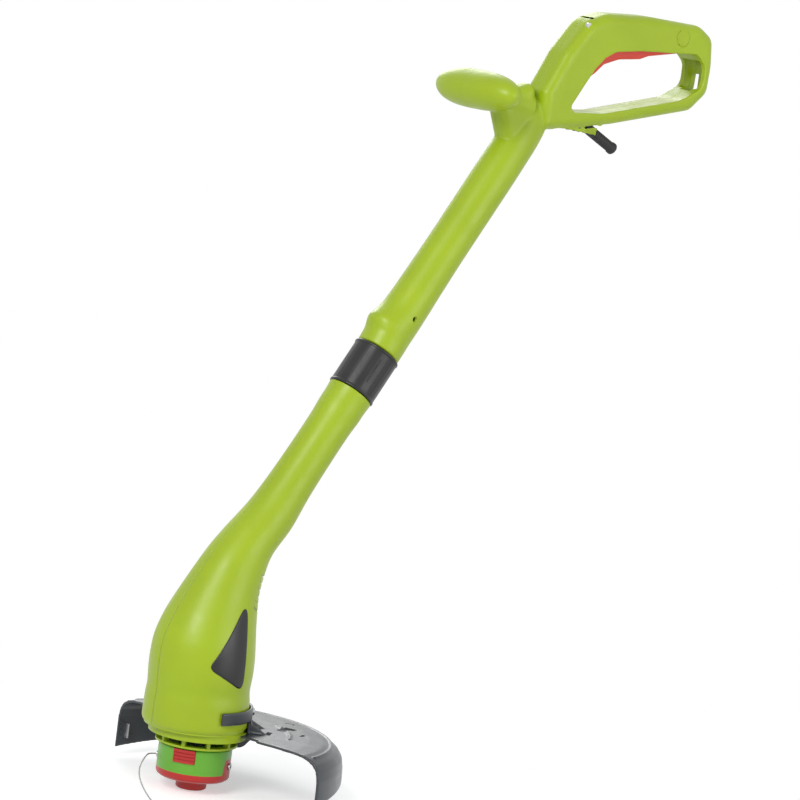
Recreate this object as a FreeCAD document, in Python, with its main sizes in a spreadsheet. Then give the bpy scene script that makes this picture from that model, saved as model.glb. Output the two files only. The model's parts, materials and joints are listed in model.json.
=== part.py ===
"""Corded string trimmer: telescopic-free straight shaft, swivel motor head and D-handle.

Frame: millimetres, +Z up along the spool axis, +X towards the operator's rear handle,
-Y the operator's left. The origin is the centre of the tap button's bottom face.
"""
import FreeCAD, Part
import math
import os
import Sketcher

from FreeCAD import Placement, Rotation, Vector

doc = FreeCAD.newDocument("StringTrimmer")
sheet = doc.addObject("Spreadsheet::Sheet", "Sizes")

SIZES = (
    # tap button and spool head
    ("button_radius", 14.5), ("button_height", 8.0), ("button_stem_radius", 9.0),
    ("tap_travel", 4.0), ("running_gap", 0.3), ("fit_gap", 0.05),
    ("cup_radius", 34.5), ("cup_wall", 2.4), ("cup_bottom", 19.0), ("cup_top", 43.5),
    ("cover_base_height", 11.0), ("cover_edge", 3.5), ("riser_top", 33.0), ("riser_width", 24.0),
    ("spool_radius", 27.5), ("spool_core_radius", 14.0), ("spool_flange", 1.6),
    ("latch_width", 21.0), ("latch_bottom", 29.5), ("latch_height", 12.6),
    ("latch_proud", 1.2), ("latch_travel", 2.0), ("line_exit_height", 26.0), ("line_radius", 0.7),
    # motor head
    ("flange_radius", 46.0), ("flange_bottom", 52.7), ("flange_top", 59.95),
    ("vent_radius", 38.5), ("vent_plate", 2.0), ("housing_radius", 49.6), ("housing_set_back", 5.0),
    ("housing_bottom", 60.2), ("shell_wall", 2.6), ("shaft_radius", 4.0), ("hub_radius", 9.0),
    ("can_radius", 30.0), ("can_wall", 1.8), ("can_bottom", 80.0), ("can_length", 66.0),
    ("armature_radius", 21.0), ("fan_radius", 37.0), ("fan_bottom", 62.5), ("fan_height", 12.0),
    ("bearing_radius", 11.0), ("bearing_height", 7.0),
    # shaft, collar and swivel
    ("lean_angle", 33.6), ("bend_height", 170.5), ("collar_distance", 270.2),
    ("shaft_length", 283.8), ("collar_radius", 23.4), ("collar_length", 47.0),
    ("collar_wall", 2.9), ("spigot_radius", 17.5), ("spigot_wall", 2.5), ("shaft_tube_radius", 20.2),
    # handle
    ("handle_width", 35.0), ("handle_edge", 8.0), ("handle_wall", 3.0), ("grip_length", 137.0),
    ("grip_thickness", 33.0), ("strap", 8.0), ("trigger_width", 18.0), ("trigger_angle", 6.0),
    ("front_grip_length", 115.0), ("front_grip_radius", 19.5), ("front_neck_radius", 15.0),
    ("sleeve_radius", 5.4), ("sleeve_bore", 3.6), ("sleeve_length", 30.0),
    ("sleeve_root", 10.0), ("clamp_height", 11.6),
    # guard
    ("guard_radius", 134.0), ("guard_wall", 2.6), ("guard_top", 59.9), ("guard_lip", 7.0),
    ("guard_aside", 8.0),
)

for row, (word, value) in enumerate(SIZES, start=1):
    sheet.set(f"A{row}", word)
    sheet.set(f"B{row}", str(value))
    sheet.setAlias(f"B{row}", word)
doc.recompute()


class Measure:
    """A size read from the sheet that keeps the expression which leads back to its cells."""

    def __init__(self, value, text):
        self.value = float(value)
        self.text = text

    def __float__(self):
        return self.value

    def __add__(self, other):
        other = measure(other)
        return Measure(self.value + other.value, f"({self.text} + {other.text})")

    def __sub__(self, other):
        other = measure(other)
        return Measure(self.value - other.value, f"({self.text} - {other.text})")

    def __mul__(self, other):
        other = measure(other)
        return Measure(self.value * other.value, f"({self.text} * {other.text})")

    def __truediv__(self, other):
        other = measure(other)
        return Measure(self.value / other.value, f"({self.text} / {other.text})")

    def __radd__(self, other):
        return measure(other) + self

    def __rsub__(self, other):
        return measure(other) - self

    def __rmul__(self, other):
        return measure(other) * self


def measure(value):
    """A plain number as a Measure."""
    return value if isinstance(value, Measure) else Measure(value, repr(float(value)))


def size(word):
    """The sheet's value with this alias."""
    return Measure(sheet.get(word), f"Sizes.{word}")


PARTS = []
Z_AXIS = Vector(0, 0, 1)
Y_AXIS = Vector(0, 1, 0)
X_AXIS = Vector(1, 0, 0)
LEAN = float(size("lean_angle"))
LEAN_RADIANS = math.radians(LEAN)
SHAFT_WAY = Vector(math.sin(LEAN_RADIANS), 0, math.cos(LEAN_RADIANS))
BEND = Vector(-float(size("housing_set_back")), 0, float(size("bend_height")))
COLLAR = BEND + SHAFT_WAY * float(size("collar_distance"))
JUNCTION = COLLAR + SHAFT_WAY * float(size("shaft_length"))
LEANING = Rotation(Y_AXIS, LEAN)
FAR = 400.0


# ---------------------------------------------------------------- helpers
def part(obj, label):
    """Registers a document object as a sub-part."""
    obj.Label = label
    PARTS.append(obj)
    return obj


def place(obj, x=0, y=0, z=0, turn=None):
    """Moves an object and binds the moved coordinates to the sheet."""
    spot = Vector(float(measure(x)), float(measure(y)), float(measure(z)))
    obj.Placement = Placement(spot, turn or Rotation())
    for axis, value in (("x", x), ("y", y), ("z", z)):
        if isinstance(value, Measure):
            obj.setExpression(f".Placement.Base.{axis}", value.text)
    return obj


def feature(label, shape, placement=None):
    """A sub-part whose shape neither primitives nor sketches describe well."""
    obj = doc.addObject("Part::Feature", f"Feature_{label}")
    own = shape.Placement
    obj.Shape = shape
    obj.Placement = (placement or Placement()).multiply(own)
    return part(obj, label)


def primitive(kind, name, **sizes):
    """A Part primitive with its sizes bound to the sheet."""
    obj = doc.addObject(f"Part::{kind}", name)
    for prop, value in sizes.items():
        value = measure(value)
        setattr(obj, prop, value.value)
        obj.setExpression(prop, value.text)
    return obj


def joined(kind, name, base, tool):
    """A Cut, Fuse or Common of two document objects."""
    obj = doc.addObject(f"Part::{kind}", name)
    obj.Base = base
    obj.Tool = tool
    return obj


def tube(label, outer, inner, length):
    """A plain tube made of two cylinders; the bore runs past both ends."""
    over = 1.0
    wall = primitive("Cylinder", f"{label}_outside", Radius=outer, Height=length)
    bore = primitive("Cylinder", f"{label}_bore", Radius=inner, Height=measure(length) + 2 * over)
    place(bore, z=-over)
    return joined("Cut", f"Cut_{label}", wall, bore)


def turned(label, outline):
    """A body turned about its own Z axis from a closed outline of (radius, height) sizes."""
    body = doc.addObject("PartDesign::Body", f"Body_{label}")
    sketch = body.newObject("Sketcher::SketchObject", f"Sketch_{label}")
    plane = [item for item in body.Origin.OriginFeatures if item.Role == "XZ_Plane"][0]
    sketch.AttachmentSupport = (plane, [""])
    sketch.MapMode = "FlatFace"
    outline = [(measure(r), measure(z)) for r, z in outline]
    corners = [Vector(r.value, z.value, 0) for r, z in outline]
    count = len(corners)
    for index in range(count):
        sketch.addGeometry(Part.LineSegment(corners[index], corners[(index + 1) % count]), False)
    for index in range(count):
        sketch.addConstraint(Sketcher.Constraint("Coincident", index, 2, (index + 1) % count, 1))
    for index, (r, z) in enumerate(outline):
        pin_down(sketch, index, "DistanceX", r, -2)
        pin_down(sketch, index, "DistanceY", z, -1)
    turn = body.newObject("PartDesign::Revolution", f"Turn_{label}")
    turn.Profile = sketch
    turn.ReferenceAxis = (sketch, ["V_Axis"])
    turn.Angle = 360.0
    return body


def pin_down(sketch, index, kind, value, axis):
    """Dimensions one corner from the origin, or puts it on the axis when the size is zero."""
    if value.value == 0.0:
        sketch.addConstraint(Sketcher.Constraint("PointOnObject", index, 1, axis))
        return
    number = sketch.addConstraint(Sketcher.Constraint(kind, -1, 1, index, 1, value.value))
    sketch.setExpression(f"Constraints[{number}]", value.text)


def tangent_path(points, radii, closed=False):
    """Straight runs joined by tangent arcs no larger than the runs allow, as a wire."""
    count = len(points)
    edges = []
    corners = range(count) if closed else range(1, count - 1)
    starts = {}
    ends = {}
    for index in corners:
        corner = points[index]
        before = (points[index - 1] - corner).normalize()
        after = (points[(index + 1) % count] - corner).normalize()
        half_turn = (math.pi - before.getAngle(after)) / 2
        run = min((points[index - 1] - corner).Length, (points[(index + 1) % count] - corner).Length)
        radius = min(radii[index], 0.48 * run / math.tan(half_turn))
        back = radius * math.tan(half_turn)
        starts[index] = corner + before * back
        ends[index] = corner + after * back
        centre_way = (before + after).normalize()
        centre = corner + centre_way * (radius / math.cos(half_turn))
        middle = centre - centre_way * radius
        edges.append(Part.Arc(starts[index], middle, ends[index]).toShape())
    last = count if closed else count - 1
    for index in range(last):
        following = (index + 1) % count
        begin = ends.get(index, points[index])
        finish = starts.get(following, points[following])
        if begin.distanceToPoint(finish) > 1e-6:
            edges.append(Part.LineSegment(begin, finish).toShape())
    return Part.Wire(Part.__sortEdges__(edges))


def plate(corners, width, radii, middle=0.0):
    """A solid of constant width across Y from rounded corners in the XZ plane."""
    flat = [Vector(x, middle - width / 2, z) for x, z in corners]
    face = Part.Face(tangent_path(flat, radii, closed=True))
    return face.extrude(Vector(0, width, 0))


def ring_sector(inner, outer, bottom, top, first, last, centre=0.0):
    """Part of a ring about a vertical axis; angles run from +X towards -Y."""
    span = last - first
    origin = Vector(centre, 0, bottom)
    shape = Part.makeCylinder(outer, top - bottom, origin, Z_AXIS, span)
    shape = shape.cut(Part.makeCylinder(inner, top - bottom, origin, Z_AXIS))
    shape.rotate(origin, Z_AXIS, -last)
    return shape


def ring(inner, outer, bottom, top, centre=0.0):
    """A full ring about a vertical axis."""
    origin = Vector(centre, 0, bottom)
    outside = Part.makeCylinder(outer, top - bottom, origin)
    return outside.cut(Part.makeCylinder(inner, top - bottom, origin))


def round_loft(stations):
    """A solid of short cones through circles given as (centre, direction, radius)."""
    wires = []
    for centre, way, radius in stations:
        wires.append(Part.Wire(Part.makeCircle(radius, centre, way)))
    return Part.makeLoft(wires, True, True)


def side(shape, sign):
    """The half of a shape on one side of the symmetry plane: -1 left, +1 right."""
    corner = Vector(-FAR, 0 if sign > 0 else -FAR, -FAR)
    return shape.common(Part.makeBox(3 * FAR, FAR, 4 * FAR, corner))


def around(angle, radius, height):
    """The point at an angle from +X towards -Y."""
    turn = math.radians(angle)
    return Vector(radius * math.cos(turn), -radius * math.sin(turn), height)


def along_shaft(distance, sideways=0.0, forward=0.0):
    """A point at or beside the shaft's axis, measured up from the middle of the collar."""
    ahead = Vector(-SHAFT_WAY.z, 0, SHAFT_WAY.x)
    return COLLAR + SHAFT_WAY * distance + Vector(0, sideways, 0) + ahead * forward


def at_junction(x, z):
    """A point of the handle in its own plane, measured from the top of the shaft."""
    return (JUNCTION.x + x, JUNCTION.z + z)


def coil(radius, wire, height, turns):
    """A helical spring that stands on its own XY plane."""
    pitch = (height - 2 * wire) / turns
    path = Part.makeHelix(pitch, pitch * turns, radius)
    path.translate(Vector(0, 0, wire))
    profile = Part.Wire(Part.makeCircle(wire, Vector(radius, 0, wire), Y_AXIS))
    return Part.Wire(path.Edges).makePipeShell([profile], True, True)


# ---------------------------------------------------------------- spool head
LINE_ANGLE = 234.0
LATCH_ANGLE = 144.0
RISER_ANGLES = (54.0, LINE_ANGLE)
RISER_SPAN = 44.0


def tap_button():
    radius, height, stem = size("button_radius"), size("button_height"), size("button_stem_radius")
    rounding = 1.6
    top = size("cup_bottom") + 3.0
    body = turned("tap_button", [
        (0, 0), (radius - rounding, 0), (radius - rounding / 4, rounding / 2),
        (radius, rounding), (radius, height + 3.0), (stem, height + 3.0), (stem, top), (0, top)])
    part(body, "tap_button")


def spool_cover():
    radius, bottom, top = size("cup_radius"), size("cover_base_height"), size("cup_bottom")
    edge = size("cover_edge")
    bore = size("button_radius") + size("running_gap")
    base = turned("cover_base", [
        (bore, bottom), (radius - edge, bottom), (radius - edge / 4, bottom + edge / 2),
        (radius, bottom + edge), (radius, top), (bore, top)])
    doc.recompute()
    shape = base.Shape.copy()
    for angle in RISER_ANGLES:
        shape = shape.fuse(riser(angle, 0.0))
    shape = shape.cut(eyelet_bores(2.6))
    feature("spool_cover", shape.removeSplitter())


def riser(angle, margin):
    """A tapered tab of the cover that rises into a window of the cup's wall."""
    inner = float(size("cup_radius") - size("cup_wall")) - margin
    outer = float(size("cup_radius")) + margin
    bottom, top = float(size("cup_bottom")), float(size("riser_top")) + margin
    tab = ring_sector(inner, outer, bottom - margin, top, angle - RISER_SPAN / 2, angle + RISER_SPAN / 2)
    half = float(size("riser_width")) / 2 + margin
    slope = 3.0
    face = Part.makePolygon([Vector(0, -half, bottom - 1), Vector(0, half, bottom - 1),
                             Vector(0, half - slope, top), Vector(0, slope - half, top),
                             Vector(0, -half, bottom - 1)])
    wedge = Part.Face(face).extrude(Vector(outer + 1, 0, 0))
    wedge.rotate(Vector(), Z_AXIS, -angle)
    return tab.common(wedge)


def eyelet_bores(radius):
    """Radial holes through the head's wall where the line leaves."""
    holes = []
    for angle in RISER_ANGLES:
        start = around(angle, 28.0, float(size("line_exit_height")))
        holes.append(Part.makeCylinder(radius, 12.0, start, around(angle, 1.0, 0)))
    return holes[0].fuse(holes[1])


def line_eyelets():
    inner, outer, bore = 30.5, 36.0, 1.6
    solids = []
    for angle in RISER_ANGLES:
        start = around(angle, inner, float(size("line_exit_height")))
        way = around(angle, 1.0, 0)
        barrel = Part.makeCylinder(2.6, outer - inner, start, way)
        lip = Part.makeCylinder(3.4, 0.8, start + way * (outer - inner - 0.8), way)
        shape = barrel.fuse(lip)
        solids.append(shape.cut(Part.makeCylinder(bore, outer, start - way, way)))
    feature("line_eyelets", Part.makeCompound(solids))


def latch_shape(angle, margin):
    """A ribbed pad that fills a window in the cup's wall."""
    inner = float(size("cup_radius") - size("cup_wall")) - 1.6
    outer = float(size("cup_radius")) + float(size("latch_proud"))
    if margin > 0.0:
        inner -= float(size("latch_travel")) + margin
        outer += 2.0
    bottom = float(size("latch_bottom")) - margin
    height = float(size("latch_height")) + 2 * margin
    half = float(size("latch_width")) / 2 + margin
    pad = ring_sector(inner, outer, bottom, bottom + height, angle - 45, angle + 45)
    block = Part.makeBox(outer, 2 * half, height, Vector(0, -half, bottom))
    block.rotate(Vector(), Z_AXIS, -angle)
    pad = pad.common(block)
    if margin == 0.0:
        for level in range(3):
            groove = bottom + height * (level + 1) / 4 - 0.6
            pad = pad.cut(ring_sector(outer - 0.9, outer + 1, groove, groove + 1.2, angle - 46, angle + 46))
    return pad


def latches():
    feature("latch_front", latch_shape(LATCH_ANGLE, 0.0))
    feature("latch_rear", latch_shape(LATCH_ANGLE + 180, 0.0))


def spool_cup():
    radius, wall = size("cup_radius"), size("cup_wall")
    bottom, top = size("cup_bottom"), size("cup_top")
    bore = size("shaft_radius")
    blank = turned("cup_blank", [
        (radius - wall, bottom), (radius, bottom), (radius, top - 2), (radius - 2, top),
        (bore, top), (bore, top - wall), (radius - wall, top - wall)])
    doc.recompute()
    shape = blank.Shape.copy()
    gap = 0.15
    for angle in RISER_ANGLES:
        shape = shape.cut(riser(angle, gap))
    for angle in (LATCH_ANGLE, LATCH_ANGLE + 180):
        shape = shape.cut(latch_shape(angle, 0.25))
    feature("spool_cup", shape)


def line_spool():
    radius, core, flange = size("spool_radius"), size("spool_core_radius"), size("spool_flange")
    bore = size("button_stem_radius") - 2.0
    bottom = size("cup_bottom") + 3.0
    height = 12.4
    body = turned("line_spool", [
        (bore, bottom), (radius, bottom), (radius, bottom + flange), (core, bottom + flange),
        (core, bottom + height - flange), (radius, bottom + height - flange),
        (radius, bottom + height), (bore, bottom + height)])
    part(body, "line_spool")
    winding = turned("wound_line", [
        (core, bottom + flange), (radius - 1.5, bottom + flange),
        (radius - 1.5, bottom + height - flange), (core, bottom + height - flange)])
    part(winding, "wound_line")


def spool_spring():
    spring_radius, wire, height = 8.0, 0.5, 6.4
    base = Vector(0, 0, float(size("cup_bottom")) + 15.5)
    feature("spool_spring", coil(spring_radius, wire, height, 2.5), Placement(base, Rotation()))


def hub_nut():
    flats, height = 6.2, 4.4
    nut = Part.Face(Part.makePolygon([around(60 * step, flats, 0) for step in range(7)]))
    nut = nut.extrude(Vector(0, 0, height))
    nut = nut.cut(Part.makeCylinder(float(size("shaft_radius")), height))
    feature("hub_nut", nut, Placement(Vector(0, 0, float(size("cup_bottom")) + 17.7), Rotation()))


def cutting_line():
    points = [Vector(*spot) for spot in (
        (-19.7, 27.1, 26.0), (-27.0, 33.4, 26.0), (-37.4, 25.5, 25.2), (-49.2, 15.2, 21.4),
        (-56.1, 7.9, 18.7), (-64.6, -4.6, 14.6), (-72.0, -20.5, 10.4), (-77.2, -35.1, 7.0),
        (-82.5, -50.9, 4.4), (-84.6, -63.5, 3.6))]
    radii = [0.0] * len(points)
    for index in range(1, len(points) - 1):
        before = points[index - 1] - points[index]
        after = points[index + 1] - points[index]
        half_turn = (math.pi - before.getAngle(after)) / 2
        radii[index] = 0.45 * min(before.Length, after.Length) / math.tan(half_turn)
    print("line radii", [round(value, 1) for value in radii[1:-1]])
    path = tangent_path(points, radii)
    radius = float(size("line_radius"))
    way = (points[1] - points[0]).normalize()
    profile = Part.Wire(Part.makeCircle(radius, points[0], way))
    shape = path.makePipeShell([profile], True, True)
    print("line length", round(path.Length, 1), "volume ratio",
          round(shape.Volume / (math.pi * radius ** 2 * path.Length), 4))
    feature("cutting_line", shape)


# ---------------------------------------------------------------- motor's turning parts
def motor_shaft():
    radius = size("shaft_radius")
    shaft = primitive("Cylinder", "motor_shaft_rod", Radius=radius, Height=138)
    place(shaft, z=34)
    part(shaft, "motor_shaft")


def drive_hub():
    bore, radius = size("shaft_radius"), size("hub_radius")
    body = turned("drive_hub", [
        (bore, size("cup_top")), (radius + 4, size("cup_top")), (radius + 4, size("cup_top") + 2),
        (radius, size("cup_top") + 4), (radius, size("fan_bottom")), (bore, size("fan_bottom"))])
    part(body, "drive_hub")


def cooling_fan():
    outer, bottom = float(size("fan_radius")), float(size("fan_bottom"))
    bore = float(size("shaft_radius"))
    plate_height, blades = 2.0, 12
    height = float(size("fan_height"))
    shape = Part.makeCylinder(outer, plate_height, Vector(0, 0, bottom))
    shape = shape.fuse(Part.makeCylinder(9.0, height - 4, Vector(0, 0, bottom)))
    for step in range(blades):
        blade = Part.makeBox(outer - 13, 1.4, height - plate_height, Vector(12, 0, bottom + plate_height))
        blade.rotate(Vector(12, 0, 0), Z_AXIS, 18)
        blade.rotate(Vector(), Z_AXIS, 360 / blades * step)
        shape = shape.fuse(blade)
    shape = shape.common(Part.makeCylinder(outer, height, Vector(0, 0, bottom)))
    feature("cooling_fan", shape.cut(Part.makeCylinder(bore, height, Vector(0, 0, bottom))))


def armature():
    radius, bore = float(size("armature_radius")), float(size("shaft_radius"))
    bottom, height, slots = float(size("can_bottom")) + 14.0, 38.0, 12
    core = Part.makeCylinder(radius, height, Vector(0, 0, bottom))
    core = core.cut(Part.makeCylinder(bore, height, Vector(0, 0, bottom)))
    for step in range(slots):
        slot = Part.makeBox(6, 1.6, height, Vector(radius - 5, -0.8, bottom))
        slot.rotate(Vector(), Z_AXIS, 360 / slots * step)
        core = core.cut(slot)
    feature("armature_core", core)
    ends = []
    for level in (bottom - 8.0, bottom + height):
        ends.append(Part.makeCylinder(radius - 3, 8.0, Vector(0, 0, level))
                    .cut(Part.makeCylinder(bore, 8.0, Vector(0, 0, level))))
    feature("armature_winding", Part.makeCompound(ends))
    commutator = tube("commutator", 10.5, size("shaft_radius"), 12.0)
    place(commutator, z=size("can_bottom") + 61.0)
    part(commutator, "commutator")


# ---------------------------------------------------------------- motor head
def motor_stations(inset):
    """Sections of the motor housing from its rim to the collar, drawn in by an inset."""
    radius = float(size("housing_radius"))
    back = -float(size("housing_set_back"))
    tube_radius = float(size("shaft_tube_radius"))
    # height, forward drift of the centre, radius, lean of the section
    upright = (
        (float(size("housing_bottom")), 0.0, radius, 0.0), (84.0, 0.0, radius, 0.0),
        (97.0, 1.2, radius - 2.2, 0.0), (118.0, 0.6, radius - 0.8, 0.0),
        (141.0, 1.0, radius - 1.0, 4.0), (160.0, 5.0, radius - 5.4, 10.0),
        (178.0, 10.5, radius - 11.0, 17.0), (197.0, 17.5, radius - 16.5, 24.0))
    stations = []
    for height, drift, section, lean in upright:
        turn = math.radians(lean)
        way = Vector(math.sin(turn), 0, math.cos(turn))
        stations.append((Vector(back + drift, 0, height), way, section - inset))
    reach = float(size("collar_distance"))
    seat = float(size("spigot_radius"))
    stop = float(size("collar_length")) / 2 + float(size("running_gap"))
    for distance, section in ((0.80, tube_radius + 6.0), (0.64, tube_radius + 2.4),
                              (0.40, tube_radius + 0.8), (0.22, tube_radius + 1.2)):
        stations.append((along_shaft(-distance * reach), SHAFT_WAY, section - inset))
    end = tube_radius + 2.4
    for distance in (stop + 12.0, stop):
        stations.append((along_shaft(-distance), SHAFT_WAY, seat if inset else end))
    return stations


def motor_shells():
    wall = float(size("shell_wall"))
    outside = round_loft(motor_stations(0.0))
    hollow = round_loft(motor_stations(wall))
    shape = outside.cut(hollow)
    for spot in shell_screw_spots():
        boss = Part.makeCylinder(4.0, 80.0, spot - Vector(0, 40, 0), Y_AXIS)
        shape = shape.fuse(boss.common(outside))
    shape = shape.cut(shell_screw_shapes()).cut(guard_screw_shapes())
    for step in range(6):
        for sign in (-1, 1):
            slot = Part.makeBox(12, 40, 2.2, Vector(-6, -20, 0))
            slot.rotate(Vector(), Y_AXIS, 20)
            slot.translate(Vector(32 - 1.2 * step, sign * 36, 172 + 6 * step))
            shape = shape.cut(slot)
    feature("motor_shell_left", side(shape, -1))
    feature("motor_shell_right", side(shape, 1))


def badges():
    """Bare rounded triangles that lie on the housing's flanks."""
    skin = round_loft(motor_stations(-1.3)).cut(round_loft(motor_stations(-0.1)))
    corners = [(12.0, 186.0), (-27.0, 126.0), (9.0, 103.0)]
    for label, sign in (("badge_left", -1), ("badge_right", 1)):
        prism = plate(corners, 40.0, (8.0, 8.0, 9.0), middle=sign * 40.0)
        feature(label, skin.common(prism))


def vent_ring():
    outer, inner_radius = float(size("flange_radius")), float(size("hub_radius")) + 2.0
    bottom, top = float(size("flange_bottom")), float(size("flange_top"))
    low = float(size("cup_top")) + float(size("running_gap")) + 0.2
    vent, thick = float(size("vent_radius")), float(size("vent_plate"))
    back = float(size("housing_set_back"))
    seat = float(size("housing_radius")) - float(size("shell_wall")) - 0.1
    flange = ring(inner_radius + 8, outer, bottom + 4.5, top)
    wall = ring(outer - 3, outer, bottom, top)
    floor = ring(vent - 7, outer, bottom, bottom + thick)
    lower = ring(vent - 7, vent, low, low + thick)
    collar_ring = ring(seat - 9.0, seat, top, top + 2.2, centre=-back)
    shape = flange.multiFuse([wall, floor, lower, collar_ring])
    for step in range(10):
        rib = ring_sector(vent - 6, vent - 0.4, low + 1, bottom + 1, 36 * step - 1, 36 * step + 4)
        shape = shape.fuse(rib)
    screws = []
    for step in range(3):
        spot = around(120 * step + 30, outer - 4.5, bottom)
        screws.append(Part.makeCylinder(1.3, 7.0, spot))
    screws = Part.makeCompound(screws)
    feature("vent_ring", shape.cut(screws).removeSplitter())
    feature("vent_ring_screws", screws)


def motor():
    radius, wall = size("can_radius"), size("can_wall")
    bottom, length = size("can_bottom"), size("can_length")
    can = tube("motor_can", radius, radius - wall, length)
    place(can, z=bottom)
    part(can, "motor_can")
    inner = float(radius - wall)
    magnets = []
    for first in (-62, 118):
        magnets.append(ring_sector(float(size("armature_radius")) + 1.0, inner - 0.05, float(bottom) + 10,
                                   float(bottom) + 56, first, first + 124))
    feature("motor_magnets", Part.makeCompound(magnets))
    bearing, height = size("bearing_radius"), size("bearing_height")
    bore = size("shaft_radius")
    for label, level in (("lower_bearing", bottom - 4.0), ("upper_bearing", bottom + length + 15.0)):
        race = tube(label, bearing, bore + size("fit_gap"), height)
        place(race, z=level)
        part(race, label)
    start, end = float(bottom), float(bottom + length)
    hollow = round_loft(motor_stations(float(size("shell_wall")) + 0.05))
    spread = float(size("housing_radius")) + 4.0
    lift = Part.makeCylinder(spread, 3.0, Vector(0, 0, start - 3.0)).common(hollow)
    lift = lift.cut(Part.makeCylinder(float(bearing), 3.0, Vector(0, 0, start - 3.0)))
    for angle in (20, 80, 160, 200, 280, 340):
        lift = lift.cut(Part.makeCylinder(4.0, 3.0, around(angle, 36.0, start - 3.0)))
    feature("motor_plate", lift)
    cap = Part.makeCylinder(float(radius), 15.0 + float(height), Vector(0, 0, end))
    cap = cap.cut(Part.makeCylinder(float(radius) - 2.5, 15.0, Vector(0, 0, end)))
    cap = cap.cut(Part.makeCylinder(float(bearing), 30.0, Vector(0, 0, end)))
    feature("motor_end_cap", cap)
    brushes = []
    holders = []
    for sign in (-1, 1):
        brushes.append(Part.makeBox(5, 9, 6, Vector(-2.5, 10.8 if sign > 0 else -19.8, end - 4.0)))
        outer = Part.makeBox(8, 8, 8, Vector(-4, 15 if sign > 0 else -23, end - 4.5))
        holders.append(outer.cut(Part.makeBox(5, 9, 6, Vector(-2.5, 10.8 if sign > 0 else -19.8, end - 4.0))))
    feature("carbon_brushes", Part.makeCompound(brushes))
    feature("brush_holders", Part.makeCompound(holders))


def motor_wiring():
    board = Part.makeBox(2.0, 22.0, 34.0, Vector(0, -11, 0))
    spot = along_shaft(-0.72 * float(size("collar_distance")), forward=-14.1)
    feature("rectifier_board", board, Placement(spot, LEANING))
    wires = []
    for offset in (-2.2, 2.2):
        begin = along_shaft(-0.58 * float(size("collar_distance")), offset, 13.1)
        length = 0.58 * float(size("collar_distance")) + 30.0
        wires.append(Part.makeCylinder(1.6, length, begin, SHAFT_WAY))
    feature("motor_leads", Part.makeCompound(wires))


def shell_screw_spots():
    """Where screws cross the seam of the motor shells."""
    reach = float(size("collar_distance"))
    return [along_shaft(-share * reach) for share in (0.50, 0.28)]


def shell_screw_shapes():
    screws = []
    for spot in shell_screw_spots():
        shank = Part.makeCylinder(1.6, 26.0, spot - Vector(0, 14, 0), Y_AXIS)
        screws.append(shank.fuse(Part.makeCylinder(3.0, 3.0, spot - Vector(0, 17, 0), Y_AXIS)))
    return Part.makeCompound(screws)


def motor_shell_screws():
    feature("motor_shell_screws", shell_screw_shapes())


# ---------------------------------------------------------------- guard
GUARD_FROM, GUARD_TO = -90.0, 72.0


def guard():
    radius, wall = float(size("guard_radius")), float(size("guard_wall"))
    top = float(size("guard_top"))
    back = -float(size("housing_set_back"))
    hole = float(size("flange_radius")) + 0.6
    shoulder = 9.0
    aside = Vector(0, -float(size("guard_aside")), 0)
    roof = ring_sector(hole - 9.0, radius - shoulder, top - wall, top, GUARD_FROM, GUARD_TO)
    skirt = ring_sector(radius - wall, radius, 0.0, top - shoulder, GUARD_FROM, GUARD_TO)
    slope = Part.makeCone(radius, radius - shoulder, shoulder, Vector(0, 0, top - shoulder))
    under = Part.makeCone(radius - wall, radius - shoulder - wall, shoulder, Vector(0, 0, top - shoulder - wall / 2))
    shell = slope.cut(under)
    wedge = ring_sector(radius - shoulder - wall - 3, radius + 5, top - shoulder, top, GUARD_FROM, GUARD_TO)
    shape = roof.multiFuse([skirt, shell.common(wedge)])
    lip = float(size("guard_lip"))
    below = Part.makeBox(3 * radius, 3 * radius, 60, Vector(-1.5 * radius, -1.5 * radius, lip - 60))
    below.rotate(Vector(0, 0, lip), Y_AXIS, -9.0)
    shape = shape.cut(below)
    shape.translate(aside)
    outer = float(size("housing_radius")) + float(size("running_gap"))
    arms = ring_sector(outer, outer + wall + 0.6, top - wall, 84.0, -100.0, 100.0, centre=back)
    shape = shape.fuse(arms.common(ring_sector(0.5, 90, 40, 90, -105, 105, centre=back)))
    for angle in (-60, -20, 20, 52):
        rib = Part.makeBox(20.0, wall, 16.0, Vector(outer + 1, -wall / 2, top - wall))
        cut = Part.makeBox(60.0, 10.0, 30.0, Vector(0, -5, 0))
        cut.rotate(Vector(), Y_AXIS, 36.0)
        cut.translate(Vector(outer + 4, 0, top + 13.5))
        rib = rib.cut(cut)
        rib.rotate(Vector(), Z_AXIS, -angle)
        rib.translate(Vector(back, 0, 0))
        shape = shape.fuse(rib)
    well = float(size("flange_top")) + 0.1
    shape = shape.cut(Part.makeCylinder(hole, 12.0, Vector(0, 0, well - 12.0)))
    shape = shape.cut(Part.makeBox(16, 9, 10, Vector(86, -4.5, top - 6)))
    shape = shape.cut(guard_screw_shapes()).cut(cutter_blade())
    for offset in (-4.0, 4.0):
        shape = shape.cut(Part.makeCylinder(1.6, 20.0, cutter_spot(offset) - Vector(10, 0, 0), X_AXIS))
    feature("guard", shape.removeSplitter())
    feature("guard_screws", guard_screw_shapes())


def guard_tongue():
    """A rounded tab that hangs from the guard's roof behind the spool."""
    top = float(size("guard_top") - size("guard_wall"))
    beside = float(size("flange_radius")) + 2.0
    tab = plate([(-20.0, top), (48.0, top), (51.0, 44.0), (42.0, 33.0), (20.0, 30.5), (-20.0, 30.5)],
                2.4, (1.0, 1.0, 8.0, 8.0, 12.0, 6.0), beside)
    tab.rotate(Vector(), Z_AXIS, -40.0)
    feature("guard_tongue", tab)


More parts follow.
